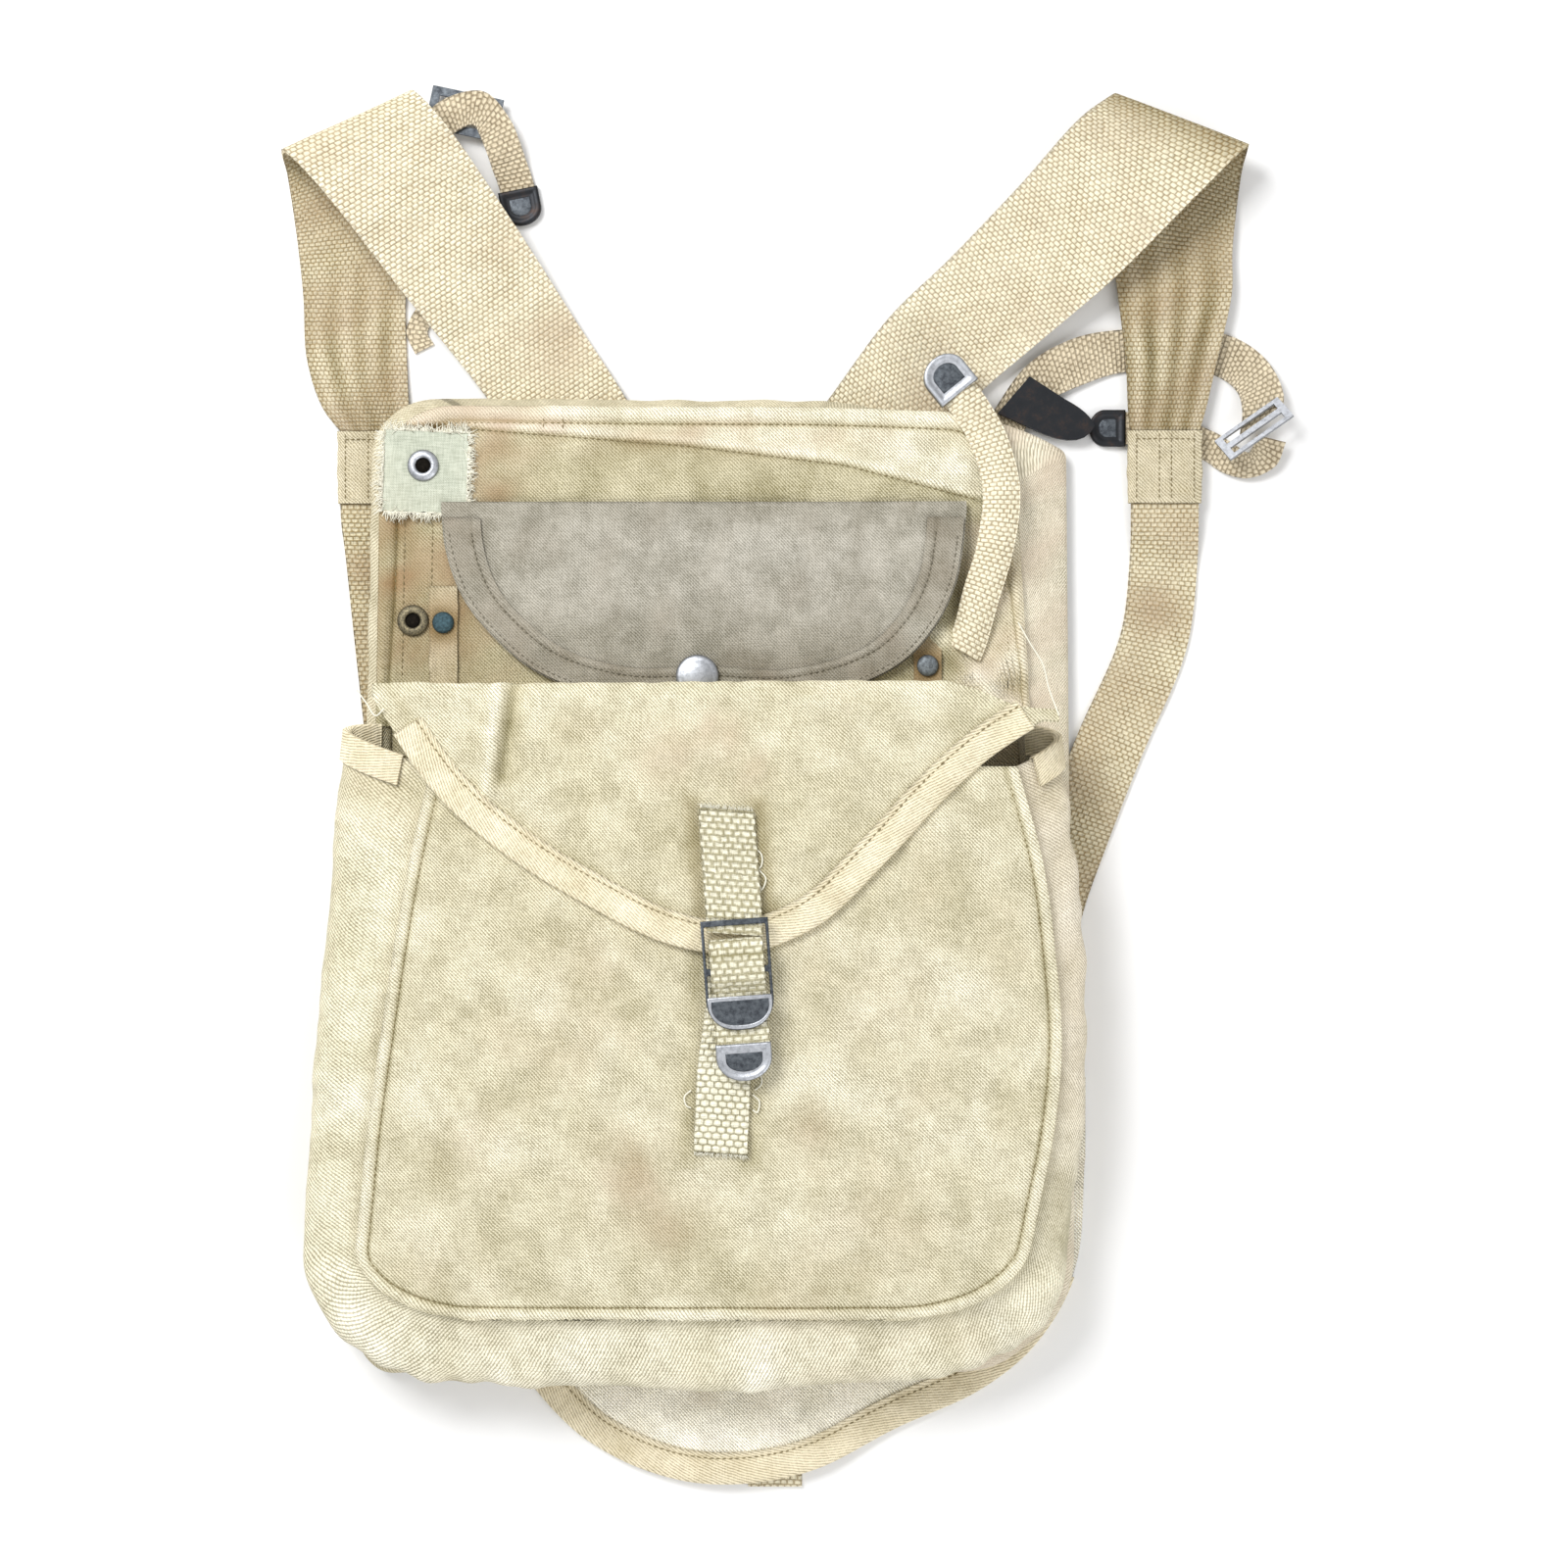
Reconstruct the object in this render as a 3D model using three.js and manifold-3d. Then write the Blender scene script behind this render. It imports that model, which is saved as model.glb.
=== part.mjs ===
// A canvas haversack laid on its back, straps spread above it, seen from over its front pouch.
// Millimetres. +X is to the right as seen from above, +Y runs from the bag's bottom edge to its
// straps, +Z is up from the floor. The model is built with its centre line at x = 0 and its
// bottom edge at y = 0, and is moved at the end so that the origin is the middle of its
// footprint, on the floor.
import * as THREE from "three";
import { mergeVertices } from "three/addons/utils/BufferGeometryUtils.js";
import Module from "manifold-3d";

// Cloth, webbing and the gap between pieces
const canvas = 1.4;
const facingCloth = 1;
const webbing = 2.2;
const narrowWebbing = 2;
const loopWeb = 1.8;
const tape = 0.9;
const seamGap = 0.3;

// Rear compartment
const bagHeight = 455;
const bagTopWidth = 323;
const bagBottomWidth = 336;
const bagTopCorner = 28;
const bagBottomCorner = 15;
const bagRoundCorner = 56;
const bagShoulderDrop = 23;
const rearDepth = 12;
const faceCorner = 34;
const faceInsetLeft = 5;
const faceInsetRight = 24;
const faceInsetFoot = 5;
const faceInsetEnds = 4;
const yokeRise = 3.5;

// Front pouch
const pouchHeight = 252;
const pouchWidth = 316;
const pouchCornerWide = 58;
const pouchCornerHigh = 34;
const pouchDepth = 29;
const pouchBottomInset = 31;
const pouchCrown = 7;
const gussetBulge = 26;
const gussetFootInset = 6;
const mouthBindingWidth = 13;

// Pouch flap
const flapWidth = 312;
const flapDrop = 122;
const flapReach = 38;
const flapHingeReach = 23;
const flapBindingWidth = 14;
const flapCornerLift = 4;
const flapRightDip = 12;

// Inner flap, over the rear compartment's mouth
const innerFlapWidth = 244;
const innerFlapDrop = 94;
const innerFlapBelowTop = 49;
const innerFlapOffset = -6;
const innerFlapLift = 6;
const innerFlapHem = 18;
const mouthWidth = 214;
const mouthHeight = 46;

// Back flap, lying under the bag
const backFlapWidth = 302;
const backFlapLength = 190;
const backFlapShow = 53;
const backFlapOffset = 22;

// Webbing widths, and the straps' reach above the bag
const shoulderWebWidth = 63.5;
const sideWebWidth = 31.75;
const strapWebWidth = 25.4;
const trimWebWidth = 19;
const strapReach = 132;
const foldHeight = 24;
const sleeveLength = 34;
const sleeveCloth = 0.8;
const looseWebWidth = 20;
const looseReach = 100;
const looseLift = 8;
const closingRise = 6;

// Metal
const buckleLength = 50;
const buckleBar = 3.6;
const buckleSide = 2.2;
const bucklePlate = 1.5;
const tipLength = 17;
const tipWall = 0.8;
const grommetRadius = 7.3;
const grommetHole = 3.4;
const studRadius = 5;
const studHeight = 2.4;
const snapRadius = 10;
const snapHeight = 3.6;
const patchWidth = 40;
const patchHeight = 39;
const slideLength = 36;
const slideWidth = 13;
const hookLength = 44;
const hookWidth = 22;

// Levels above the floor, each worked out from what lies under it
const bindingStack = canvas + 2 * (seamGap + tape);
const sleeveStack = webbing + 2 * (seamGap + sleeveCloth);
const underGap = Math.max(bindingStack, sleeveStack) + seamGap;
const backPanelTop = underGap + canvas;
const faceUnder = backPanelTop + rearDepth;
const seamLevel = faceUnder + canvas + seamGap + pouchDepth;
const pouchMouthY = pouchBottomInset + pouchHeight;
const innerHingeY = bagHeight - innerFlapBelowTop;
const topHalf = bagTopWidth / 2;
const bottomHalf = bagBottomWidth / 2;

const wasm = await Module();
wasm.setup();

const haversack = new THREE.Group();
const finishes = {
  canvas: { color: 0xb9b38c, roughness: 0.95, metalness: 0 },
  inner: { color: 0x84806e, roughness: 0.95, metalness: 0 },
  webbing: { color: 0xc6b58a, roughness: 0.95, metalness: 0 },
  tape: { color: 0xbfae82, roughness: 0.95, metalness: 0 },
  patch: { color: 0xa9b09c, roughness: 0.95, metalness: 0 },
  blackened: { color: 0x3c4046, roughness: 0.45, metalness: 0.9 },
  zinc: { color: 0x9b9ea1, roughness: 0.4, metalness: 0.9 },
};

function addPiece(name, geometry, finish) {
  const material = new THREE.MeshStandardMaterial({ ...finishes[finish], name: finish });
  const mesh = new THREE.Mesh(geometry, material);
  mesh.name = name;
  haversack.add(mesh);
}

const spot = (x, y, z) => new THREE.Vector3(x, y, z);
const lerp = (a, b, t) => a + (b - a) * t;
const share = (t) => Math.min(Math.max(t, 0), 1);
const ease = (t) => share(t) ** 2 * (3 - 2 * share(t));
const bell = (d) => Math.exp(-d * d);

// A vector in plan, given by its heading in degrees and its length.
function heading(degrees, length) {
  const angle = THREE.MathUtils.degToRad(degrees);
  return spot(Math.cos(angle) * length, Math.sin(angle) * length, 0);
}

// Reads one column of a table against another along a smooth curve.
function column(table, key, value) {
  const rows = table.map((row) => spot(row[key], row[value], 0));
  const points = new THREE.CatmullRomCurve3(rows, false, "centripetal").getPoints(96);
  return (x) => {
    const next = points.findIndex((point) => point.x >= x);
    if (next < 0) return points[points.length - 1].y;
    if (next === 0) return points[0].y;
    const [a, b] = [points[next - 1], points[next]];
    return lerp(a.y, b.y, (x - a.x) / (b.x - a.x));
  };
}

// A closed mesh, turned the right way out whichever way its grid ran.
function closedMesh(places, triangles) {
  let volume = 0;
  for (let i = 0; i < triangles.length; i += 3) {
    const [a, b, c] = [0, 1, 2].map((k) => places[triangles[i + k]]);
    volume += a.dot(b.clone().cross(c));
  }
  if (volume < 0) triangles.reverse();
  const positions = places.flatMap((place) => place.toArray());
  return new THREE.BufferGeometry()
    .setAttribute("position", new THREE.Float32BufferAttribute(positions, 3))
    .setIndex(triangles);
}

// The middle surface of a cloth: a grid of point(u, v) with its normals. With ring, u comes
// round to where it started. With level, the first and last rows' normals lie in plan.
function clothGrid(point, columns, rows, { ring = false, level = false } = {}) {
  const across = ring ? columns : columns + 1;
  const places = [];
  for (let j = 0; j <= rows; j += 1) {
    for (let i = 0; i < across; i += 1) places.push(point(i / columns, j / rows));
  }
  const wrap = (i) => (ring ? (i + across) % across : Math.min(Math.max(i, 0), columns));
  const at = (i, j) => places[Math.min(Math.max(j, 0), rows) * across + wrap(i)];
  const normals = [];
  for (let j = 0; j <= rows; j += 1) {
    for (let i = 0; i < across; i += 1) {
      const along = at(i + 1, j).clone().sub(at(i - 1, j));
      const normal = along.cross(at(i, j + 1).clone().sub(at(i, j - 1)));
      if (level && (j === 0 || j === rows)) normal.z = 0;
      normals.push(normal.normalize());
    }
  }
  return { places, normals, across, columns, rows, ring };
}

// A cloth wall: its middle surface thickened half each way, and closed round its edge.
function clothWall({ places, normals, across, columns, rows, ring }, thickness) {
  const layer = across * (rows + 1);
  const skin = (side) =>
    places.map((place, i) => place.clone().addScaledVector(normals[i], (side * thickness) / 2));
  const index = (side, i, j) => side * layer + j * across + (ring ? i % across : i);
  const triangles = [];
  const quad = (a, b, c, d) => triangles.push(a, b, c, a, c, d);
  for (let j = 0; j < rows; j += 1) {
    for (let i = 0; i < columns; i += 1) {
      quad(index(0, i, j), index(0, i + 1, j), index(0, i + 1, j + 1), index(0, i, j + 1));
      quad(index(1, i, j + 1), index(1, i + 1, j + 1), index(1, i + 1, j), index(1, i, j));
    }
  }
  for (let i = 0; i < columns; i += 1) {
    quad(index(1, i, 0), index(1, i + 1, 0), index(0, i + 1, 0), index(0, i, 0));
    quad(index(0, i, rows), index(0, i + 1, rows), index(1, i + 1, rows), index(1, i, rows));
  }
  const last = columns;
  for (let j = 0; j < rows && !ring; j += 1) {
    quad(index(0, 0, j), index(0, 0, j + 1), index(1, 0, j + 1), index(1, 0, j));
    quad(index(1, last, j), index(1, last, j + 1), index(0, last, j + 1), index(0, last, j));
  }
  return closedMesh([...skin(1), ...skin(-1)], triangles);
}

const cloth = (point, columns, rows, thickness, options) =>
  clothWall(clothGrid(point, columns, rows, options), thickness);

// A row of like rings joined side to side, with its two ends capped as the flat outline is.
function loft(rings, outline) {
  const count = outline.length;
  const triangles = [];
  for (let j = 0; j < rings.length - 1; j += 1) {
    for (let i = 0; i < count; i += 1) {
      const [a, b] = [j * count + i, j * count + ((i + 1) % count)];
      triangles.push(a, b, b + count, a, b + count, a + count);
    }
  }
  const last = (rings.length - 1) * count;
  const turned = THREE.ShapeUtils.isClockWise(outline);
  for (const face of THREE.ShapeUtils.triangulateShape(outline, [])) {
    const [a, b, c] = turned ? face.slice().reverse() : face;
    triangles.push(c, b, a, last + a, last + b, last + c);
  }
  return closedMesh(rings.flat(), triangles);
}

// Folded tape over a cloth's edge, as a channel open towards the cloth: pairs of distance in
// from the edge and distance off the cloth's middle surface.
function channel(width, clothThickness) {
  const inner = clothThickness / 2 + seamGap;
  const outer = inner + tape;
  return [
    [-seamGap - tape, -outer],
    [width, -outer],
    [width, -inner],
    [-seamGap, -inner],
    [-seamGap, inner],
    [width, inner],
    [width, outer],
    [-seamGap - tape, outer],
  ].map(([inward, off]) => new THREE.Vector2(inward, off));
}

// Tape round the rim of a cloth that lies nearly level: rim(t) in plan, level(x, y) its middle.
function rimBinding(rim, level, width, clothThickness, steps, from, to) {
  const section = channel(width, clothThickness);
  const heart = rim(0.5).lerp(rim(0), 0.5).lerp(rim(1), 0.33);
  const rings = [];
  for (let j = 0; j <= steps; j += 1) {
    const t = lerp(from, to, j / steps);
    const at = rim(t);
    const ahead = rim(share(t + 1e-3)).sub(rim(share(t - 1e-3)));
    const inward = spot(-ahead.y, ahead.x, 0).normalize();
    if (inward.dot(heart.clone().sub(at)) < 0) inward.negate();
    rings.push(
      section.map(({ x: reach, y: off }) => {
        const place = at.clone().addScaledVector(inward, reach);
        const flat = at.clone().addScaledVector(inward, Math.max(reach, 0));
        return place.setZ(level(flat.x, flat.y) + off);
      }),
    );
  }
  return loft(rings, section);
}

// Booleans
function solidOf(geometry) {
  const bare = geometry.clone();
  bare.deleteAttribute("normal");
  bare.deleteAttribute("uv");
  const merged = mergeVertices(bare, 1e-4);
  return new wasm.Manifold(
    new wasm.Mesh({
      numProp: 3,
      vertProperties: merged.attributes.position.array,
      triVerts: new Uint32Array(merged.index.array),
    }),
  );
}

function geometryOf(solid) {
  const mesh = solid.getMesh();
  return new THREE.BufferGeometry()
    .setAttribute("position", new THREE.BufferAttribute(mesh.vertProperties, 3))
    .setIndex(new THREE.BufferAttribute(mesh.triVerts, 1));
}

const cut = (geometry, ...tools) =>
  geometryOf(tools.reduce((rest, tool) => rest.subtract(solidOf(tool)), solidOf(geometry)));

const prism = (points, low, high) =>
  new THREE.ExtrudeGeometry(new THREE.Shape(points), {
    depth: high - low,
    bevelEnabled: false,
  }).translate(0, 0, low);

const post = (x, y, radius, low, high) =>
  new THREE.CylinderGeometry(radius, radius, high - low, 14)
    .rotateX(Math.PI / 2)
    .translate(x, y, (low + high) / 2);

// A turned piece standing on its seat: pairs of radius and height.
function turned(profile, x, y, seat, sides = 16) {
  const points = profile.map(([radius, high]) => new THREE.Vector2(radius, high));
  const body = new THREE.LatheGeometry(points, sides).rotateX(Math.PI / 2);
  return geometryOf(solidOf(body.translate(x, y, seat)));
}

// A loop of straight sides and round corners. Loops of as many corners have as many points.
function roundedLoop(corners, cornerSteps = 5, sideSteps = 5) {
  const count = corners.length;
  const arcs = corners.map(({ x, y, radius }, k) => {
    const here = spot(x, y, 0);
    const [before, after] = [corners[(k + count - 1) % count], corners[(k + 1) % count]];
    const back = spot(before.x, before.y, 0).sub(here).normalize();
    const on = spot(after.x, after.y, 0).sub(here).normalize();
    const half = back.angleTo(on) / 2;
    const start = here.clone().addScaledVector(back, radius / Math.tan(half));
    const end = here.clone().addScaledVector(on, radius / Math.tan(half));
    const towards = back.clone().add(on).normalize();
    const centre = here.clone().addScaledVector(towards, radius / Math.sin(half));
    const [from, to] = [start.sub(centre), end.sub(centre)];
    const turn = from.angleTo(to) * Math.sign(from.clone().cross(to).z);
    return Array.from({ length: cornerSteps + 1 }, (_, i) =>
      from
        .clone()
        .applyAxisAngle(spot(0, 0, 1), (turn * i) / cornerSteps)
        .add(centre),
    );
  });
  return arcs.flatMap((arc, k) => {
    const next = arcs[(k + 1) % count][0];
    const side = Array.from({ length: sideSteps - 1 }, (_, i) =>
      arc[cornerSteps].clone().lerp(next, (i + 1) / sideSteps),
    );
    return [...arc, ...side];
  });
}

// Rear compartment: a back panel, a gusset strip all round, and a face panel with the mouth
const backLoop = roundedLoop([
  { x: -topHalf, y: bagHeight, radius: bagTopCorner },
  { x: -bottomHalf, y: 0, radius: bagBottomCorner },
  { x: bottomHalf, y: 0, radius: bagRoundCorner },
  { x: topHalf + 2, y: bagHeight - bagShoulderDrop, radius: 5 },
  { x: 0.35 * topHalf, y: bagHeight - 2, radius: 60 },
]);
const faceLoop = roundedLoop([
  { x: -topHalf + faceInsetLeft, y: bagHeight - faceInsetEnds, radius: faceCorner },
  { x: -bottomHalf + faceInsetFoot, y: faceInsetEnds, radius: bagBottomCorner },
  { x: bottomHalf - faceInsetFoot, y: faceInsetEnds, radius: bagRoundCorner },
  { x: topHalf - faceInsetRight, y: bagHeight - 2 * faceInsetEnds, radius: faceCorner },
  { x: 0.3 * topHalf, y: bagHeight - faceInsetEnds - 1, radius: 60 },
]);

// The face panel's underside: level under the pouch, with a low rise along the yoke.
function faceLevel(x, y) {
  const across = Math.max(0, 1 - (x / topHalf) ** 2);
  return faceUnder + yokeRise * across * bell((y - innerHingeY - 22) / 26);
}
const faceTop = (x, y) => faceLevel(x, y) + canvas;

const patchX = -topHalf + 26;
const patchY = bagHeight - 35;
const eyelets = [
  { name: "grommet_upper", x: patchX - 1, y: patchY + 3, base: seamGap + facingCloth },
  { name: "grommet_lower", x: patchX - 6, y: bagHeight - 104, base: 0 },
];
const eyeletHole = ({ x, y }) => post(x, y, grommetHole + tape + seamGap, 0, seamLevel);

const mouthTop = innerHingeY - 10;
const mouthLoop = roundedLoop(
  [
    { x: -mouthWidth / 2 + 9, y: mouthTop, radius: 6 },
    { x: -mouthWidth / 2 + 17, y: mouthTop - mouthHeight, radius: 16 },
    { x: mouthWidth / 2 - 1, y: mouthTop - mouthHeight + 3, radius: 16 },
    { x: mouthWidth / 2 + 9, y: mouthTop, radius: 6 },
  ],
  3,
  1,
);

addPiece("rear_back_panel", prism(backLoop, underGap, backPanelTop), "canvas");

const heartY = bagHeight / 2;
addPiece(
  "rear_gusset",
  cloth(
    (u, v) => {
      const index = Math.round(u * backLoop.length) % backLoop.length;
      const [low, high] = [backLoop[index], faceLoop[index]];
      const place = low.clone().lerp(high, ease(v));
      const outward = place.clone().sub(spot(0, heartY, 0)).normalize();
      place.addScaledVector(outward, 2.5 * Math.sin(Math.PI * v) ** 2 - canvas / 2);
      const top = faceLevel(high.x, high.y) - seamGap - 0.15;
      return place.setZ(lerp(backPanelTop + seamGap, top, v));
    },
    backLoop.length,
    3,
    canvas,
    { ring: true, level: true },
  ),
  "canvas",
);

// Rows of the face panel's grid stand close together over the yoke.
const yokeRows = column(
  [
    { row: 0, y: -10 },
    { row: 0.2, y: 0.72 * bagHeight },
    { row: 0.4, y: 0.86 * bagHeight },
    { row: 0.7, y: 0.95 * bagHeight },
    { row: 1, y: bagHeight + 10 },
  ],
  "row",
  "y",
);
const faceSlab = cloth(
  (u, v) => {
    const [x, y] = [lerp(-1, 1, u) * (bottomHalf + 10), yokeRows(v)];
    return spot(x, y, faceLevel(x, y) + canvas / 2);
  },
  8,
  10,
  canvas,
);
const faceBlank = solidOf(faceSlab).intersect(solidOf(prism(faceLoop, 0, seamLevel)));
addPiece(
  "rear_face_panel",
  cut(geometryOf(faceBlank), prism(mouthLoop, 0, seamLevel), ...eyelets.map(eyeletHole)),
  "canvas",
);

// A small cloth laid on the face panel.
function faceTrim(x, y, width, height, columns, rows) {
  return cloth(
    (u, v) => {
      const [px, py] = [x + (u - 0.5) * width, y + (v - 0.5) * height];
      return spot(px, py, faceTop(px, py) + seamGap + facingCloth / 2 + 0.1);
    },
    columns,
    rows,
    facingCloth,
  );
}

// Repair patch, and the two eyelets: a rolled flange on the cloth and a barrel down through it
addPiece(
  "repair_patch",
  cut(faceTrim(patchX, patchY, patchWidth, patchHeight, 4, 4), eyeletHole(eyelets[0])),
  "patch",
);
for (const { name, x, y, base } of eyelets) {
  const foot = -canvas - base;
  const profile = [
    [grommetHole, foot],
    [grommetHole + tape, foot],
    [grommetHole + tape, 0],
    [grommetRadius, 0],
    [grommetRadius - 0.5, 1.2],
    [grommetHole + tape, 1.8],
    [grommetHole, 0.9],
    [grommetHole, foot],
  ];
  const seat = faceTop(x, y) + base + seamGap + 0.25;
  addPiece(name, turned(profile, x, y, seat, 14), "zinc");
}

// Fly strips at the mouth's ends, each with a stud
const flyWidth = 13;
const besideEyelet = eyelets[1].x + grommetRadius + 2 * seamGap + flyWidth / 2;
const besideFlap = innerFlapOffset - innerFlapWidth / 2 + 6;
const flyLeft = Math.max(besideFlap, besideEyelet);
const flyRight = innerFlapOffset + innerFlapWidth / 2 - 18;
const flies = [
  { side: "left", x: flyLeft, down: 115, length: 54, stud: 10 },
  { side: "right", x: flyRight, down: 127, length: 34, stud: 2 },
];
for (const { side, x, down, length, stud } of flies) {
  const y = bagHeight - down;
  addPiece(`fly_strip_${side}`, faceTrim(x, y, flyWidth, length, 1, 4), "canvas");
  const profile = [
    [0, 0],
    [studRadius, 0],
    [studRadius, 0.35 * studHeight],
    [0.7 * studRadius, 0.85 * studHeight],
    [0, studHeight],
  ];
  const seat = faceTop(x, y + stud) + 2 * seamGap + facingCloth + 0.15;
  addPiece(`stud_${side}`, turned(profile, x, y + stud, seat, 12), "blackened");
}

// Inner flap: a half-round sheet hung from the yoke over the mouth, with a wide facing round
// it and a snap cap low in the middle. Across is a share of its half width, drop of its drop.
const innerEdge = [
  { across: -1, drop: 0.04 },
  { across: -0.985, drop: 0.23 },
  { across: -0.92, drop: 0.47 },
  { across: -0.8, drop: 0.67 },
  { across: -0.64, drop: 0.84 },
  { across: -0.34, drop: 0.98 },
  { across: 0, drop: 1 },
  { across: 0.4, drop: 0.98 },
  { across: 0.74, drop: 0.81 },
  { across: 0.88, drop: 0.62 },
  { across: 0.955, drop: 0.42 },
  { across: 0.985, drop: 0.23 },
  { across: 1, drop: 0.04 },
];
const innerRimCurve = new THREE.CatmullRomCurve3(
  innerEdge.map(({ across, drop }) =>
    spot(
      innerFlapOffset + (across * innerFlapWidth) / 2,
      innerHingeY - drop * innerFlapDrop,
      0,
    ),
  ),
  false,
  "centripetal",
);
const innerRim = (t) => innerRimCurve.getPointAt(share(t));

// The flap's middle surface: it stands off the face more towards its right edge.
function innerFlapLevel(x, y) {
  const across = (x - innerFlapOffset) / (innerFlapWidth / 2);
  const down = share((innerHingeY - y) / innerFlapDrop);
  const lift = innerFlapLift * ease((across - 0.4) / 0.6) * Math.sin(Math.PI * down ** 0.8);
  const swell = 2 * Math.max(0, 1 - across * across) * Math.sin(Math.PI * down);
  const seat = seamGap + facingCloth + seamGap + canvas / 2 + 0.3;
  return faceTop(x, y) + seat + lift + swell;
}
addPiece(
  "inner_flap",
  cloth(
    (u, v) => {
      const rim = innerRim(u);
      const y = lerp(innerHingeY, rim.y, v);
      return rim.setY(y).setZ(innerFlapLevel(rim.x, y));
    },
    18,
    6,
    canvas,
  ),
  "inner",
);
addPiece(
  "inner_flap_facing",
  cloth(
    (u, v) => {
      const rim = innerRim(lerp(0.01, 0.99, u));
      const heart = spot(innerFlapOffset, innerHingeY - 0.3 * innerFlapDrop, 0);
      const place = rim.addScaledVector(heart.sub(rim).normalize(), lerp(1, innerFlapHem, v));
      const off = canvas / 2 + seamGap + tape / 2 + 0.15;
      return place.setZ(innerFlapLevel(place.x, place.y) + off);
    },
    18,
    2,
    tape,
  ),
  "inner",
);
const snapX = innerFlapOffset - 3;
const snapY = innerHingeY - innerFlapDrop + snapRadius + 3;
addPiece(
  "flap_snap",
  turned(
    [
      [0, 0],
      [snapRadius, 0],
      [snapRadius, 0.3 * snapHeight],
      [0.85 * snapRadius, 0.65 * snapHeight],
      [0.5 * snapRadius, 0.93 * snapHeight],
      [0, snapHeight],
    ],
    snapX,
    snapY,
    innerFlapLevel(snapX, snapY) + canvas / 2 + 2 * seamGap + tape + 0.4,
  ),
  "zinc",
);

// Pouch: the seam is the outline of its front panel. Left and right are shares of half the
// pouch's width, at shares of its height down from the mouth.
const seamSides = [
  { down: 0, left: -0.82, right: 0.87 },
  { down: 0.18, left: -0.885, right: 0.945 },
  { down: 0.34, left: -0.93, right: 0.98 },
  { down: 0.5, left: -0.968, right: 0.998 },
  { down: 0.66, left: -1.004, right: 0.975 },
  { down: 0.8, left: -1.026, right: 0.93 },
  { down: 0.9, left: -1.042, right: 0.9 },
  { down: 1, left: -1.045, right: 0.88 },
];
const leftShare = column(seamSides, "down", "left");
const rightShare = column(seamSides, "down", "right");
const sideRows = 7;
const cornerRows = 4;
const panelColumns = 14;
const panelRows = sideRows + cornerRows;
const cornerDown = pouchCornerHigh / pouchHeight;

// A point of the front panel in plan, at row j: even rows, then closer ones round the corners.
function seamPoint(j, over) {
  const turn = (Math.max(0, j - sideRows) / cornerRows) * (Math.PI / 2);
  const even = (1 - cornerDown) * Math.min(1, j / sideRows);
  const down = even + cornerDown * Math.sin(turn);
  const inset = pouchCornerWide * (1 - Math.cos(turn));
  const left = (leftShare(down) * pouchWidth) / 2 + inset;
  const right = (rightShare(down) * pouchWidth) / 2 - inset;
  return spot(lerp(left, right, over), pouchMouthY - down * pouchHeight, 0);
}

// Middle surface of the front panel: a low pillow that is flatter towards its mouth.
function panelLevel(x, y) {
  const down = (pouchMouthY - y) / pouchHeight;
  const over = 1 - (x / (pouchWidth / 2)) ** 2;
  const along = 0.35 + 0.65 * Math.sin(Math.PI * share(0.12 + 0.88 * down));
  return seamLevel + canvas / 2 + pouchCrown * over * along;
}
addPiece(
  "pouch_front_panel",
  cloth(
    (u, v) => {
      const place = seamPoint(v * panelRows, u);
      return place.setZ(panelLevel(place.x, place.y));
    },
    panelColumns,
    panelRows,
    canvas,
  ),
  "canvas",
);

// The seam as one path: down the left side, along the bottom, up the right side.
const seamPath = [];
for (let j = 0; j < panelRows; j += 1) seamPath.push(seamPoint(j, 0));
for (let i = 0; i <= panelColumns; i += 2) seamPath.push(seamPoint(panelRows, i / panelColumns));
for (let j = panelRows - 1; j >= 0; j -= 1) seamPath.push(seamPoint(j, 1));
const pathSpans = seamPath.length - 1;

// How far the gusset swells past seam and foot along that path, as a share of its bulge.
const gussetSwell = column(
  [
    { along: 0, swell: 1.2 },
    { along: 0.25, swell: 1.1 },
    { along: 0.38, swell: 0.85 },
    { along: 0.5, swell: 1 },
    { along: 0.62, swell: 0.8 },
    { along: 0.75, swell: 0.55 },
    { along: 1, swell: 0.75 },
  ],
  "along",
  "swell",
);

// The gusset's foot on the face panel, below each point of the seam.
function footPoint({ x, y }) {
  const down = share((pouchMouthY - y) / pouchHeight);
  const up = y / bagHeight;
  const left = lerp(faceInsetFoot - bottomHalf, faceInsetLeft - topHalf, up) + gussetFootInset;
  const right = lerp(bottomHalf - faceInsetFoot, topHalf - faceInsetRight, up) - gussetFootInset;
  const seamLeft = (leftShare(down) * pouchWidth) / 2;
  const seamRight = (rightShare(down) * pouchWidth) / 2;
  const top = pouchMouthY + flapHingeReach - 4;
  const low = faceInsetEnds + gussetFootInset;
  return spot(lerp(left, right, (x - seamLeft) / (seamRight - seamLeft)), lerp(top, low, down), 0);
}
const footPath = seamPath.map(footPoint);
const pouchHeart = spot(0, pouchMouthY - 0.4 * pouchHeight, 0);

// A point of the gusset: index along the path, t from the seam (0) to the foot (1).
function gussetPoint(index, t) {
  const [seam, foot] = [seamPath[index], footPath[index]];
  const before = seamPath[Math.max(index - 1, 0)];
  const after = seamPath[Math.min(index + 1, pathSpans)];
  const outward = spot(before.y - after.y, after.x - before.x, 0).normalize();
  if (outward.dot(seam.clone().sub(pouchHeart)) < 0) outward.negate();
  const swell = gussetBulge * gussetSwell(index / pathSpans) * Math.sin(Math.PI * t ** 0.85) ** 2;
  const place = seam.clone().lerp(foot, ease(t)).addScaledVector(outward, swell - canvas / 2);
  const top = panelLevel(seam.x, seam.y) - canvas / 2 - seamGap - 0.1;
  return place.setZ(lerp(top, faceTop(foot.x, foot.y) + seamGap, t));
}
const gussetRows = 6;
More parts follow.
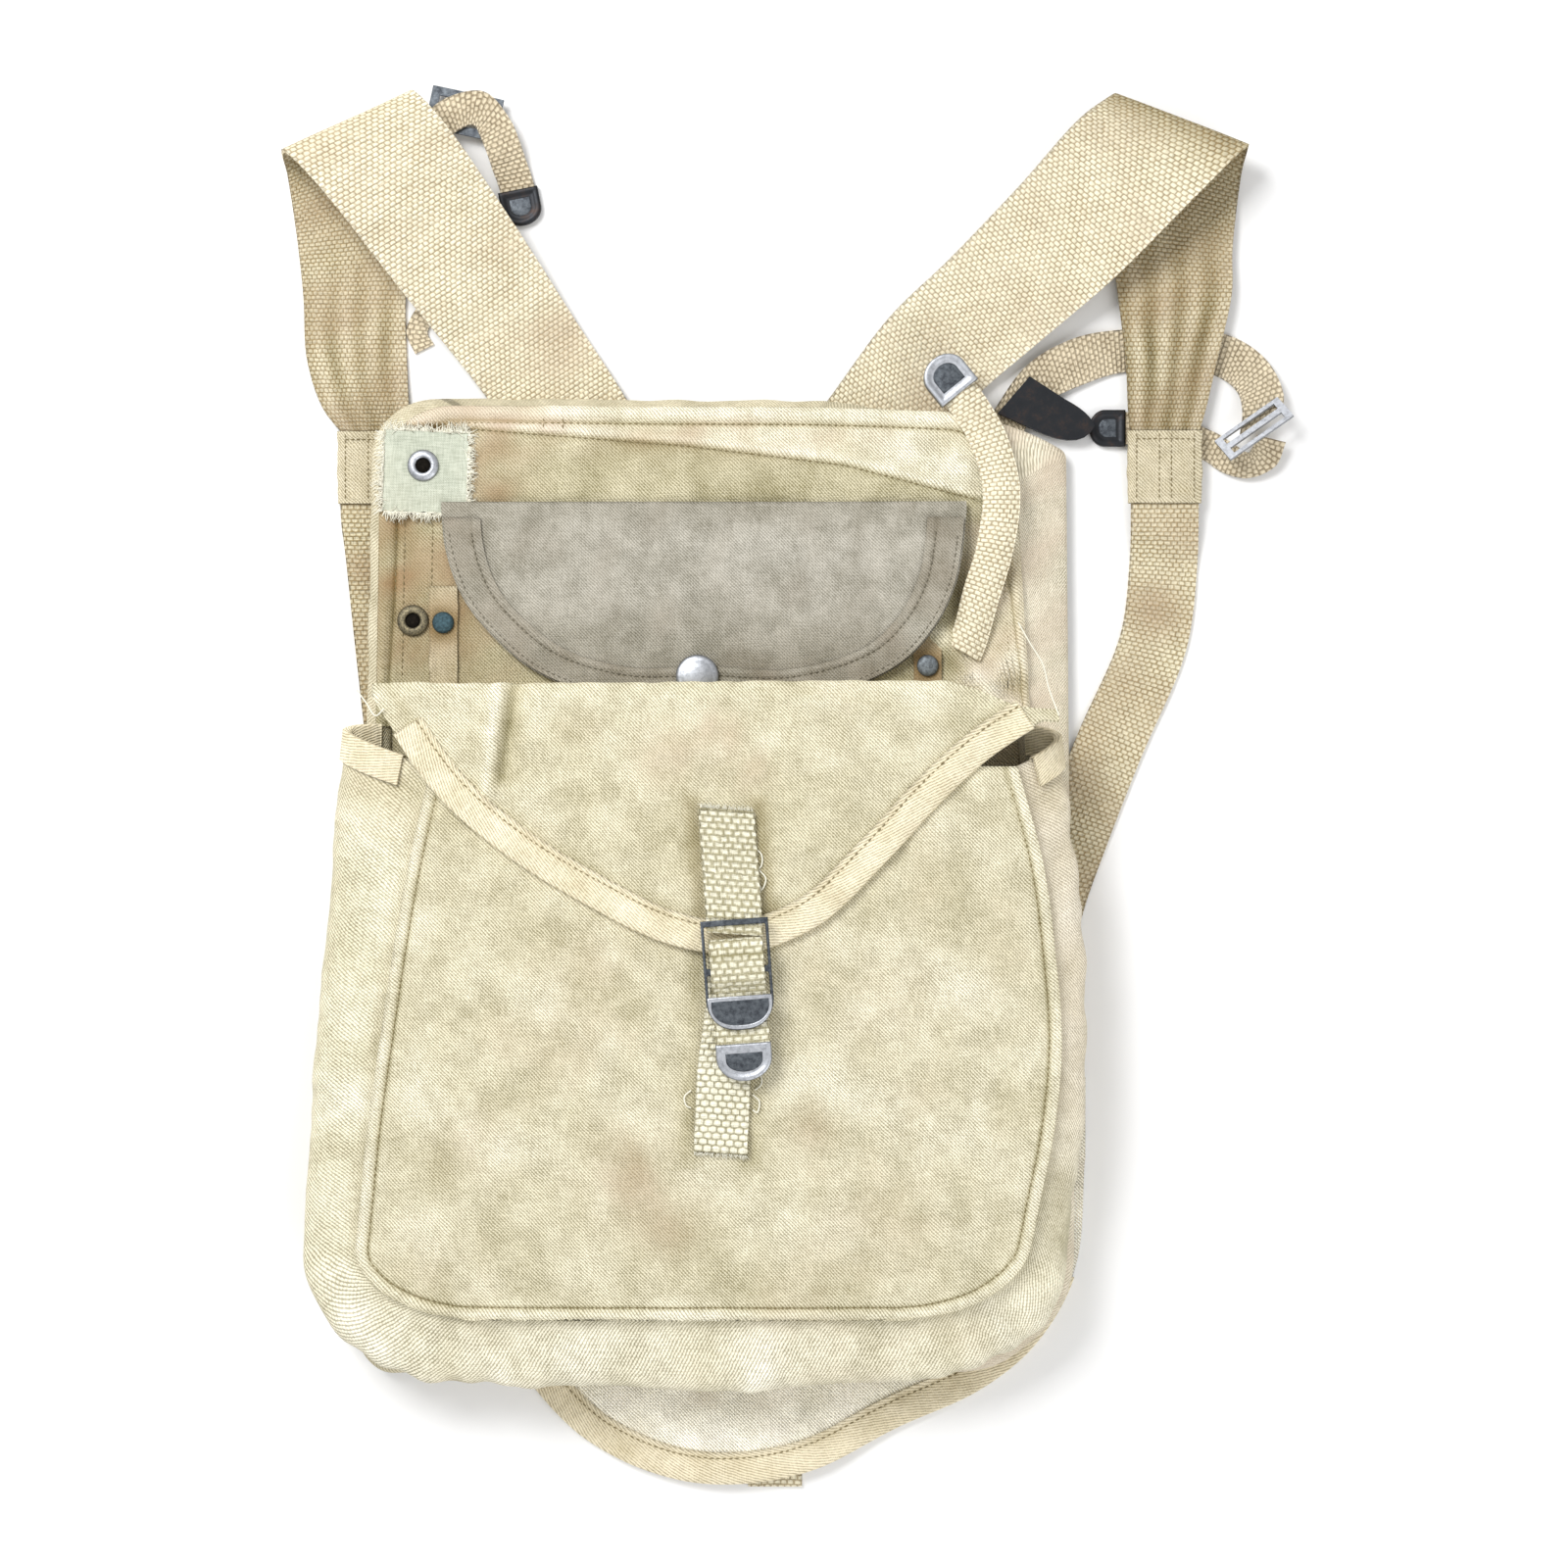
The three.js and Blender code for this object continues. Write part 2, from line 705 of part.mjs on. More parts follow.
const gussetGrid = clothGrid(
  (u, v) => gussetPoint(Math.round(u * pathSpans), v),
  pathSpans,
  gussetRows,
  { level: true },
);
addPiece("pouch_gusset", clothWall(gussetGrid, canvas), "canvas");

// Bound ends of the gusset at the pouch's mouth, on the strip between its two end columns
for (const [side, end, next] of [
  ["left", 0, 1],
  ["right", pathSpans, pathSpans - 1],
]) {
  const section = channel(mouthBindingWidth, canvas + 0.2);
  const rings = [];
  for (let j = 1; j < gussetRows; j += 1) {
    const [a, b] = [end, next].map((i) => j * gussetGrid.across + i);
    const span = gussetGrid.places[a].distanceTo(gussetGrid.places[b]);
    rings.push(
      section.map(({ x: reach, y: off }) => {
        const t = reach / span;
        const place = gussetGrid.places[a].clone().lerp(gussetGrid.places[b], t);
        const normal = gussetGrid.normals[a].clone().lerp(gussetGrid.normals[b], t);
        return place.addScaledVector(normal, off);
      }),
    );
  }
  addPiece(`mouth_binding_${side}`, loft(rings, section), "tape");
}

// Pouch flap: up from the face panel, over its fold and down to a rounded, bound edge
const flapEdge = [
  { across: -1, drop: 0.05 },
  { across: -0.94, drop: 0.17 },
  { across: -0.8, drop: 0.42 },
  { across: -0.6, drop: 0.64 },
  { across: -0.37, drop: 0.82 },
  { across: -0.14, drop: 0.96 },
  { across: 0.07, drop: 1 },
  { across: 0.29, drop: 0.9 },
  { across: 0.485, drop: 0.67 },
  { across: 0.66, drop: 0.43 },
  { across: 0.8, drop: 0.27 },
  { across: 1, drop: 0.1 },
];
const flapDropAt = column(flapEdge, "across", "drop");
const flapSeat = canvas + 2 * seamGap + tape + 0.25;
const flapFoldY = pouchMouthY + flapReach;
const flapEdgeY = flapFoldY - flapDrop;
const wallShare = 0.3;
const foldAt = (x) => flapFoldY - flapRightDip * ease((x / (flapWidth / 2) - 0.66) / 0.28);

function flapLevel(x, y) {
  const lift = flapCornerLift * ease((Math.abs(x / (flapWidth / 2)) - 0.6) / 0.4);
  return panelLevel(x, y) + flapSeat + lift;
}

// A point of the flap: over from -1 to 1, v from the hinge (0) over the fold to the edge (1).
function flapPoint(over, v) {
  const x = (over * flapWidth) / 2;
  const foldY = foldAt(x);
  const crest = flapLevel(x, foldY) - 2.5;
  if (v <= wallShare) {
    const t = v / wallShare;
    const hingeX = over * (topHalf - faceInsetRight - gussetFootInset - 4);
    const hingeY = pouchMouthY + flapHingeReach + 2;
    const seat = faceTop(hingeX, hingeY) + seamGap;
    const lean = Math.sin((t * Math.PI) / 2) ** 1.4;
    return spot(lerp(hingeX, x, t), lerp(hingeY, foldY, lean), lerp(seat, crest, t));
  }
  const t = (v - wallShare) / (1 - wallShare);
  const edge = Math.min(foldY - 5, flapFoldY - flapDropAt(over) * flapDrop);
  const y = lerp(foldY, edge, t);
  return spot(x, y, lerp(crest, flapLevel(x, y), ease((foldY - y) / 6)));
}
addPiece(
  "pouch_flap",
  cloth((u, v) => flapPoint(lerp(-1, 1, u), v), 20, 10, canvas),
  "canvas",
);
addPiece(
  "pouch_flap_binding",
  rimBinding(
    (t) => flapPoint(lerp(-1, 1, t), 1),
    flapLevel,
    flapBindingWidth,
    canvas,
    26,
    0.08,
    0.92,
  ),
  "tape",
);

// Webbing along a route: each row gives a middle point and a half-width vector, and the band
// runs smoothly between them, never below the floor. Cup raises its two edges.
function band(route, thickness, steps, columns = 1, cup = 0) {
  const edges = [-1, 1].map(
    (sign) =>
      new THREE.CatmullRomCurve3(
        route.map(({ at, half }) => at.clone().addScaledVector(half, sign)),
        false,
        "centripetal",
      ),
  );
  return cloth(
    (u, v) => {
      const place = edges[0].getPoint(v).lerp(edges[1].getPoint(v), u);
      return place.setZ(Math.max(place.z + cup * (2 * u - 1) ** 2, thickness / 2));
    },
    columns,
    steps,
    thickness,
  );
}

// Closing tab, buckle and strap down the middle of the pouch
const lineSlope = 0.074;
const lineX = (y) => 5 + (flapEdgeY + 64 - y) * lineSlope;
const flapTopAt = (y) => flapLevel(lineX(y), y) + canvas / 2;
const bindingTop = flapTopAt(flapEdgeY + 6) + seamGap + tape;
const feedLevel = bindingTop + seamGap + narrowWebbing / 2 + 0.25;
const tailLevel = feedLevel + narrowWebbing + seamGap;
const plateUnder = tailLevel + narrowWebbing / 2 + seamGap;
const overLevel = plateUnder + bucklePlate + seamGap + narrowWebbing / 2;
const barTopY = flapEdgeY + 15;
const midBarY = barTopY - 0.46 * buckleLength;
const lipTopY = barTopY - 0.7 * buckleLength;
const lipEndY = barTopY - buckleLength;

// The tab is sewn flat on the flap and rises behind the buckle's top bar.
addPiece(
  "flap_tab",
  band(
    [
      { y: flapEdgeY + 64, rise: 0 },
      { y: flapEdgeY + 50, rise: 0 },
      { y: flapEdgeY + 38, rise: 0 },
      { y: flapEdgeY + 28, rise: 0.5 },
      { y: barTopY, rise: 1 },
      { y: barTopY - buckleBar - 3, rise: 1 },
    ].map(({ y, rise }) => {
      const sewn = flapTopAt(y) + seamGap + narrowWebbing / 2 + 0.15;
      return {
        at: spot(lineX(y), y, lerp(sewn, tailLevel, rise)),
        half: heading(-4, strapWebWidth / 2),
      };
    }),
    narrowWebbing,
    10,
    2,
  ),
  "webbing",
);

// One plate with two windows: a top bar, a middle bar, and a rounded lip at the bottom.
function bucklePlateShape() {
  const half = strapWebWidth / 2 + 0.8;
  const outer = half + buckleSide;
  const lipTop = lipTopY - barTopY;
  const middle = midBarY - barTopY;
  const shape = new THREE.Shape();
  shape.moveTo(-outer, 0);
  shape.lineTo(-outer, lipTop - 2);
  shape.quadraticCurveTo(2 - outer, -buckleLength, 0, -buckleLength);
  shape.quadraticCurveTo(outer - 2, -buckleLength, outer, lipTop - 2);
  shape.lineTo(outer, 0);
  shape.closePath();
  for (const [top, bottom] of [
    [-buckleBar, middle + buckleBar / 2],
    [middle - buckleBar / 2, lipTop],
  ]) {
    const hole = new THREE.Path();
    hole.moveTo(-half, top);
    hole.lineTo(half, top);
    hole.lineTo(half, bottom);
    hole.lineTo(-half, bottom);
    hole.closePath();
    shape.holes.push(hole);
  }
  return shape;
}
addPiece(
  "buckle",
  new THREE.ExtrudeGeometry(bucklePlateShape(), {
    depth: bucklePlate,
    bevelEnabled: false,
    curveSegments: 6,
  })
    .rotateZ(Math.atan(lineSlope))
    .translate(lineX(barTopY), barTopY, plateUnder),
  "blackened",
);

// Pouch strap: sewn low on the front panel, up behind the buckle, over its middle bar and back
// under the lip to a metal tip. Line is 1 where it follows the buckle, 0 where it is sewn.
const sewnY = flapEdgeY - 91;
const turnY = barTopY - buckleBar - 9;
const turnRadius = (overLevel - feedLevel) / 2;
const panelSeat = (y) => panelLevel(4, y) + canvas / 2 + seamGap + narrowWebbing / 2 + 0.15;
const strapRoute = [
  { y: sewnY, z: panelSeat(sewnY), line: 0 },
  { y: sewnY + 20, z: panelSeat(sewnY + 20), line: 0 },
  { y: sewnY + 38, z: panelSeat(sewnY + 38), line: 0 },
  { y: sewnY + 66, z: lerp(panelSeat(sewnY + 66), feedLevel, 0.5), line: 0.4 },
  { y: flapEdgeY - 6, z: feedLevel, line: 0.7 },
  { y: flapEdgeY + 2, z: feedLevel, line: 0.9 },
  { y: turnY, z: feedLevel, line: 1 },
  { y: turnY + 0.7 * turnRadius, z: feedLevel + 0.3 * turnRadius, line: 1 },
  { y: turnY + turnRadius, z: feedLevel + turnRadius, line: 1 },
  { y: turnY + 0.7 * turnRadius, z: overLevel - 0.3 * turnRadius, line: 1 },
  { y: turnY, z: overLevel, line: 1 },
  { y: midBarY, z: overLevel + 0.2, line: 1 },
  { y: midBarY - 4, z: overLevel - 0.5, line: 1 },
  { y: lipTopY + 3.4, z: tailLevel + 0.7, line: 1 },
  { y: lipTopY - 1, z: tailLevel, line: 1 },
  { y: lipEndY - 2, z: tailLevel, line: 1 },
  { y: lipEndY - 10, z: tailLevel - 0.4, line: 1 },
];
addPiece(
  "pouch_strap",
  band(
    strapRoute.map(({ y, z, line }) => ({
      at: spot(lerp(2.3 + (y - sewnY) * 0.05, lineX(y), line), y, z),
      half: heading(lerp(-4, 4.2, line), strapWebWidth / 2 - 0.6),
    })),
    narrowWebbing,
    48,
    1,
  ),
  "webbing",
);

// A metal tip: a thin sleeve closed and rounded at its far end, on the last of a strap.
function strapTip(end, along, width, thickness, length = tipLength) {
  const half = width / 2 + seamGap + tipWall;
  const shape = new THREE.Shape();
  shape.moveTo(-half, 0);
  shape.lineTo(-half, length - half * 0.8);
  shape.quadraticCurveTo(-half, length, 0, length);
  shape.quadraticCurveTo(half, length, half, length - half * 0.8);
  shape.lineTo(half, 0);
  shape.closePath();
  const depth = thickness + 2 * (seamGap + tipWall);
  const slot = new THREE.BoxGeometry(width + 2 * seamGap, length * 0.5, thickness + 2 * seamGap);
  const tip = cut(
    new THREE.ExtrudeGeometry(shape, { depth, bevelEnabled: false, curveSegments: 5 }).translate(
      0,
      0,
      -depth / 2,
    ),
    slot,
  );
  const forward = along.clone().normalize();
  const side = forward.clone().cross(spot(0, 0, 1)).normalize();
  const frame = new THREE.Matrix4().makeBasis(side, forward, side.clone().cross(forward));
  const back = end.clone().addScaledVector(forward, seamGap - length * 0.25);
  return tip.applyMatrix4(frame.setPosition(back));
}
addPiece(
  "pouch_strap_tip",
  strapTip(
    spot(lineX(lipEndY - 10), lipEndY - 10, tailLevel - 0.4),
    spot(lineSlope, -1, -0.05),
    strapWebWidth - 1.2,
    narrowWebbing,
  ),
  "zinc",
);

// Back flap: a half-round sheet sewn under the back panel, lying inner side up past the bag's
// bottom edge, with a bound rim and the end of a sewn tab under it
const backEdge = [
  { across: -1, drop: 0.22 },
  { across: -0.97, drop: 0.4 },
  { across: -0.86, drop: 0.6 },
  { across: -0.72, drop: 0.76 },
  { across: -0.54, drop: 0.9 },
  { across: -0.3, drop: 0.985 },
  { across: -0.08, drop: 1 },
  { across: 0.15, drop: 0.965 },
  { across: 0.42, drop: 0.86 },
  { across: 0.68, drop: 0.765 },
  { across: 0.85, drop: 0.65 },
  { across: 0.97, drop: 0.47 },
  { across: 1, drop: 0.2 },
];
const backHingeY = backFlapLength - backFlapShow;
const backRimCurve = new THREE.CatmullRomCurve3(
  backEdge.map(({ across, drop }) =>
    spot(backFlapOffset + (across * backFlapWidth) / 2, backHingeY - drop * backFlapLength, 0),
  ),
  false,
  "centripetal",
);
const backRim = (t) => backRimCurve.getPointAt(share(t));
const tabX = backFlapOffset + 5;
const backFloor = tape + seamGap + canvas / 2;

// The sheet lies a tape's thickness off the floor, rises over the tab, and meets the panel.
function backLevel(x, y) {
  const rise = ease((y - backHingeY + 40) / 34);
  const beside = Math.max(0, Math.abs(x - tabX) - 19) / 26;
  const overTab = (narrowWebbing + 2 * seamGap) * bell(beside) * bell((y + backFlapShow) / 40);
  return lerp(backFloor + overTab, underGap - seamGap - canvas / 2, rise);
}
addPiece(
  "back_flap",
  cloth(
    (u, v) => {
      const rim = backRim(u);
      const y = lerp(backHingeY, rim.y, v);
      return rim.setY(y).setZ(backLevel(rim.x, y));
    },
    24,
    6,
    canvas,
  ),
  "canvas",
);
addPiece(
  "back_flap_binding",
  rimBinding(backRim, backLevel, flapBindingWidth, canvas, 30, 0.12, 0.88),
  "tape",
);
const tabEndY = -backFlapShow - 3;
addPiece(
  "back_flap_tab",
  band(
    [24, 12, 0].map((up) => ({
      at: spot(tabX, tabEndY + up, narrowWebbing / 2),
      half: heading(0, strapWebWidth / 2),
    })),
    narrowWebbing,
    2,
  ),
  "webbing",
);

// Shoulder straps: wide webbing from under the bag's top edge, out and over, then back down to
// a sewn sleeve. Side is a share of the bag's top half width. Up is a share of the straps'
// reach above the bag's top, or if negative a share of the bag's height below it. High is a
// share of the fold's height, turn the heading of the width, and width a share of the webbing's.
const underPanel = underGap - seamGap - webbing / 2;
const floorWeb = webbing / 2;
const routePoint = ({ side, up, high }) =>
  spot(
    side * topHalf,
    bagHeight + up * (up >= 0 ? strapReach : bagHeight),
    Math.max(floorWeb, underPanel + high * foldHeight),
  );
const leftLeg = [
  { side: -0.36, up: -0.06, high: 0, turn: 32, width: 0.85 },
  { side: -0.42, up: -0.022, high: 0, turn: 32, width: 0.85 },
  { side: -0.55, up: 0.16, high: 0.02, turn: 33, width: 0.87 },
  { side: -0.75, up: 0.5, high: 0.45, turn: 34, width: 0.96 },
  { side: -0.97, up: 0.86, high: 0.92, turn: 29, width: 1.02 },
  { side: -1.055, up: 0.965, high: 0.86, turn: 25, width: 1.04 },
  { side: -1.072, up: 0.965, high: 0.45, turn: 24, width: 1.04 },
  { side: -1.068, up: 0.9, high: 0.02, turn: 22, width: 1.02 },
  { side: -1.055, up: 0.64, high: -0.1, turn: 9, width: 0.9 },
  { side: -1.06, up: 0.38, high: -0.1, turn: 0, width: 0.76 },
  { side: -1.053, up: 0.15, high: -0.1, turn: 0, width: 0.74 },
  { side: -1.027, up: -0.006, high: -0.04, turn: 0, width: 0.64 },
  { side: -1, up: -0.03, high: -0.04, turn: 0, width: 0.52 },
];
const rightLeg = [
  { side: 0.36, up: -0.075, high: 0, turn: -45, width: 0.85 },
  { side: 0.43, up: -0.045, high: 0, turn: -45, width: 0.85 },
  { side: 0.62, up: 0.15, high: 0.0, turn: -45, width: 0.87 },
  { side: 0.8, up: 0.35, high: 0.2, turn: -45, width: 0.9 },
  { side: 1.01, up: 0.586, high: 0.62, turn: -44, width: 0.97 },
  { side: 1.22, up: 0.85, high: 0.98, turn: -33, width: 1.02 },
  { side: 1.33, up: 0.965, high: 0.9, turn: -21, width: 1.04 },
  { side: 1.342, up: 0.965, high: 0.45, turn: -20, width: 1.04 },
  { side: 1.335, up: 0.89, high: 0.05, turn: -18, width: 1.02 },
  { side: 1.32, up: 0.58, high: 0.05, turn: -8, width: 0.92 },
  { side: 1.33, up: 0.38, high: 0.1, turn: 0, width: 0.84 },
  { side: 1.32, up: 0.138, high: 0.1, turn: 0, width: 0.67 },
  { side: 1.308, up: -0.006, high: 0.1, turn: 0, width: 0.58 },
  { side: 1.301, up: -0.03, high: 0.1, turn: 0, width: 0.52 },
];
const legRoute = (rows) =>
  rows.map((row) => ({
    at: routePoint(row),
    half: heading(row.turn, (row.width * shoulderWebWidth) / 2),
  }));
addPiece("shoulder_strap_left", band(legRoute(leftLeg), webbing, 36, 2), "webbing");
addPiece("shoulder_strap_right", band(legRoute(rightLeg), webbing, 36, 2), "webbing");

// Side straps of narrow webbing from each sleeve down under the bag, and the sleeves
const sideStraps = [
  {
    side: "left",
    top: leftLeg[leftLeg.length - 1],
    down: [
      { side: -1, up: -0.12, high: -0.04, turn: 0 },
      { side: -0.989, up: -0.155, high: -0.1, turn: 0 },
      { side: -0.951, up: -0.28, high: -0.1, turn: 4 },
      { side: -0.91, up: -0.4, high: -0.04, turn: 8 },
      { side: -0.87, up: -0.49, high: -0.04, turn: 8 },
    ],
  },
  {
    side: "right",
    top: rightLeg[rightLeg.length - 1],
    down: [
      { side: 1.301, up: -0.07, high: 0.1, turn: 0 },
      { side: 1.301, up: -0.12, high: 0.1, turn: 0 },
      { side: 1.3, up: -0.17, high: -0.1, turn: -3 },
      { side: 1.27, up: -0.25, high: -0.1, turn: -12 },
      { side: 1.144, up: -0.355, high: -0.1, turn: -24 },
      { side: 1.04, up: -0.45, high: -0.1, turn: -17 },
      { side: 0.97, up: -0.52, high: -0.04, turn: -14 },
      { side: 0.92, up: -0.6, high: -0.04, turn: -14 },
    ],
  },
];
for (const { side, top, down } of sideStraps) {
  const joint = routePoint(top).add(spot(0, -seamGap - webbing / 2, 0));
  const route = [
    { at: joint.clone(), half: heading(0, sideWebWidth / 2) },
    ...down.map((row) => ({ at: routePoint(row), half: heading(row.turn, sideWebWidth / 2) })),
  ];
  addPiece(`side_strap_${side}`, band(route, webbing, 18, 1), "webbing");
  const inner = [sideWebWidth + 2 * seamGap + 1.8, webbing + 2 * seamGap + 0.1];
  const tube = (extra, length) =>
    new THREE.BoxGeometry(inner[0] + extra, length, inner[1] + extra).translate(
      joint.x,
      joint.y + 1 - sleeveLength / 2,
      joint.z,
    );
  const sleeve = cut(tube(2 * sleeveCloth, sleeveLength), tube(0, 2 * sleeveLength));
  addPiece(`strap_sleeve_${side}`, sleeve, "canvas");
}

// Loose ends are placed from a corner of the bag or of a strap's fold. Out and up are shares of
// their reach, high a share of their lift, and wide a share of the loose webbing's width.
const rightCorner = spot(topHalf, bagHeight, 0);
const leftCorner = spot(-topHalf, bagHeight, 0);
const foldCorner = spot(-topHalf, bagHeight + strapReach, 0);
const loopFloor = loopWeb / 2;
const tipRest = loopFloor + seamGap + tipWall;
const loosePoint = (corner, { out, up, high = 0 }) =>
  corner.clone().add(spot(out * looseReach, up * looseReach, Math.max(loopFloor, high * looseLift)));
const looseBand = (corner, rows, steps) =>
  band(
    rows.map((row) => ({
      at: loosePoint(corner, row),
      half: heading(row.turn, (row.wide * looseWebWidth) / 2),
    })),
    loopWeb,
    steps,
  );

// Closing strap: cupped webbing from beside the right stud, up over the bag's top edge
const closing = [
  { out: -0.47, up: -1.19, rise: 0, turn: -29 },
  { out: -0.435, up: -1.1, rise: 0.02, turn: -28 },
  { out: -0.39, up: -0.93, rise: 0.5, turn: -22 },
  { out: -0.325, up: -0.7, rise: 1, turn: -11 },
  { out: -0.295, up: -0.44, rise: 0.67, turn: 3 },
  { out: -0.345, up: -0.22, rise: 0.02, turn: 18 },
  { out: -0.425, up: -0.07, rise: 0.05, turn: 30 },
  { out: -0.515, up: 0.05, rise: 0.2, turn: 39 },
].map(({ out, up, rise, turn }) => {
  const { x, y } = loosePoint(rightCorner, { out, up });
  return {
    at: spot(x, y, faceTop(x, y) + seamGap + rise * closingRise + narrowWebbing / 2),
    half: heading(turn, trimWebWidth / 2 - 0.4),
  };
});
addPiece("closing_strap", band(closing, narrowWebbing, 20, 2, 1.6), "webbing");
const closingEnd = closing[closing.length - 1].at.clone().add(spot(0, 0, 1));
addPiece(
  "closing_strap_tip",
  strapTip(closingEnd, spot(-0.63, 0.78, 0), trimWebWidth, narrowWebbing + 2.6, 20),
  "zinc",
);

// Right side: a hook behind the bag's corner, and a side loop with its slide, tail and tip
addPiece(
  "side_loop",
  looseBand(
    rightCorner,
    [
      { out: -0.415, up: -0.33, high: 0.4, turn: 130, wide: 0.9 },
      { out: -0.285, up: -0.15, high: 0.4, turn: 128, wide: 0.9 },
      { out: -0.115, up: 0.08, high: 0.375, turn: 118, wide: 1 },
      { out: 0.085, up: 0.19, high: 0.3, turn: 104, wide: 1.1 },
      { out: 0.285, up: 0.24, high: 0, turn: 94, wide: 1 },
      { out: 0.565, up: 0.25, high: 0, turn: 88, wide: 0.9 },
      { out: 0.785, up: 0.21, high: 0, turn: 70, wide: 1 },
      { out: 0.905, up: 0.11, high: 0.5, turn: 40, wide: 1 },
      { out: 0.945, up: -0.03, high: 1, turn: 14, wide: 1 },
      { out: 0.915, up: -0.13, high: 1, turn: 32, wide: 0.95 },
    ],
    26,
  ),
  "webbing",
);
const slidePlace = loosePoint(rightCorner, { out: 0.895, up: -0.14, high: 1 });
addPiece(
  "side_slide",
  cut(
    new THREE.BoxGeometry(slideLength, slideWidth, bucklePlate),
    ...[-1, 1].map((sign) =>
      new THREE.BoxGeometry(slideLength - 7, slideWidth / 2 - 3.2, 2 * bucklePlate).translate(
        0,
        (sign * (slideWidth - 1)) / 4,
        0,
      ),
    ),
  )
    .rotateX(-0.5)
    .rotateZ(THREE.MathUtils.degToRad(35))
    .translate(slidePlace.x, slidePlace.y, slidePlace.z + 5.5),
  "zinc",
);
const tipHigh = tipRest / looseLift;
const tailEnd = { out: 0.265, up: -0.125, high: tipHigh, turn: -90, wide: 0.75 };
addPiece(
  "side_tail",
  looseBand(
    rightCorner,
    [
      { out: 0.985, up: -0.18, high: 0.875, turn: -13, wide: 0.7 },
      { out: 0.955, up: -0.26, high: 0.56, turn: -40, wide: 0.7 },
      { out: 0.885, up: -0.3, high: 0.375, turn: -90, wide: 0.6 },
      { out: 0.795, up: -0.27, high: 0.25, turn: -115, wide: 0.7 },
      { out: 0.705, up: -0.21, high: 0.125, turn: -118, wide: 0.7 },
      { out: 0.525, up: -0.15, high: 0.125, turn: -106, wide: 0.75 },
      { out: 0.345, up: -0.125, high: tipHigh, turn: -92, wide: 0.75 },
      tailEnd,
    ],
    20,
  ),
  "webbing",
);
const tailWidth = tailEnd.wide * looseWebWidth;
addPiece(
  "side_tail_tip",
  strapTip(loosePoint(rightCorner, tailEnd), spot(-1, 0, 0), tailWidth, loopWeb),
  "blackened",
);

const hookShape = new THREE.Shape();
hookShape.moveTo(0, -hookWidth / 2);
hookShape.lineTo(0.55 * hookLength, -hookWidth / 2);
hookShape.quadraticCurveTo(hookLength, -0.45 * hookWidth, hookLength, 0.1 * hookWidth);
hookShape.quadraticCurveTo(0.9 * hookLength, 0.32 * hookWidth, 0.6 * hookLength, 0.36 * hookWidth);
hookShape.lineTo(0.15 * hookLength, 0.5 * hookWidth);
hookShape.closePath();
const hookPlace = loosePoint(rightCorner, { out: -0.255, up: 0.04 });
addPiece(
  "strap_hook",
  new THREE.ExtrudeGeometry(hookShape, { depth: 3, bevelEnabled: false, curveSegments: 6 })
    .rotateZ(THREE.MathUtils.degToRad(-24))
    .translate(hookPlace.x, hookPlace.y, underPanel + loopWeb / 2 + seamGap),
  "blackened",
);

// Top left: a slide under the fold with a narrow strap and its tip, and a small loop below
const slideLevel = 5;
const slideTop = slideLevel + bucklePlate + seamGap + loopWeb / 2;
const foldSlide = loosePoint(foldCorner, { out: 0.425, up: 0.03 });
addPiece(
  "fold_slide",
  cut(
    new THREE.BoxGeometry(34, 20, bucklePlate),
    new THREE.BoxGeometry(26, 12, 2 * bucklePlate),
  )
    .rotateZ(THREE.MathUtils.degToRad(-12))
    .translate(foldSlide.x, foldSlide.y, slideLevel + bucklePlate / 2),
  "blackened",
);
const slideHigh = slideTop / looseLift;
const foldEnd = { out: 0.68, up: -0.36, high: tipHigh, turn: 11.3, wide: 0.82 };
addPiece(
  "fold_strap",
  looseBand(
    foldCorner,
    [
      { out: 0.055, up: -0.26, high: 0.475, turn: 128, wide: 0.72 },
      { out: 0.125, up: -0.19, high: 0.55, turn: 127, wide: 0.72 },
      { out: 0.215, up: -0.11, high: slideHigh, turn: 124, wide: 0.72 },
      { out: 0.365, up: 0.02, high: slideHigh, turn: 114, wide: 0.8 },
      { out: 0.495, up: 0.05, high: slideHigh, turn: 72, wide: 0.82 },
      { out: 0.575, up: -0.05, high: slideHigh, turn: 32, wide: 0.82 },
      { out: 0.605, up: -0.12, high: slideHigh, turn: 24, wide: 0.82 },
      { out: 0.635, up: -0.21, high: 0.525, turn: 16, wide: 0.82 },
      { out: 0.66, up: -0.28, high: tipHigh, turn: 11.3, wide: 0.82 },
      foldEnd,
    ],
    18,
  ),
  "webbing",
);
const foldEndPlace = loosePoint(foldCorner, foldEnd);
addPiece(
  "fold_strap_tip",
  strapTip(foldEndPlace, spot(0.2, -1, 0), foldEnd.wide * looseWebWidth + 0.2, loopWeb),
  "blackened",
);
addPiece(
  "shoulder_loop",
  looseBand(
    leftCorner,
    [
      { out: 0.322, up: 0.48, turn: -53, wide: 0.5 },
      { out: 0.242, up: 0.42, turn: -41, wide: 0.5 },
      { out: 0.197, up: 0.33, turn: -3, wide: 0.5 },
      { out: 0.232, up: 0.25, turn: 27, wide: 0.5 },
    ],
    8,
  ),
  "webbing",
);

const footprint = new THREE.Box3().setFromObject(haversack);
const middle = footprint.getCenter(new THREE.Vector3());
haversack.position.set(-middle.x, -middle.y, -footprint.min.z);

export default haversack;
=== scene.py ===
import math

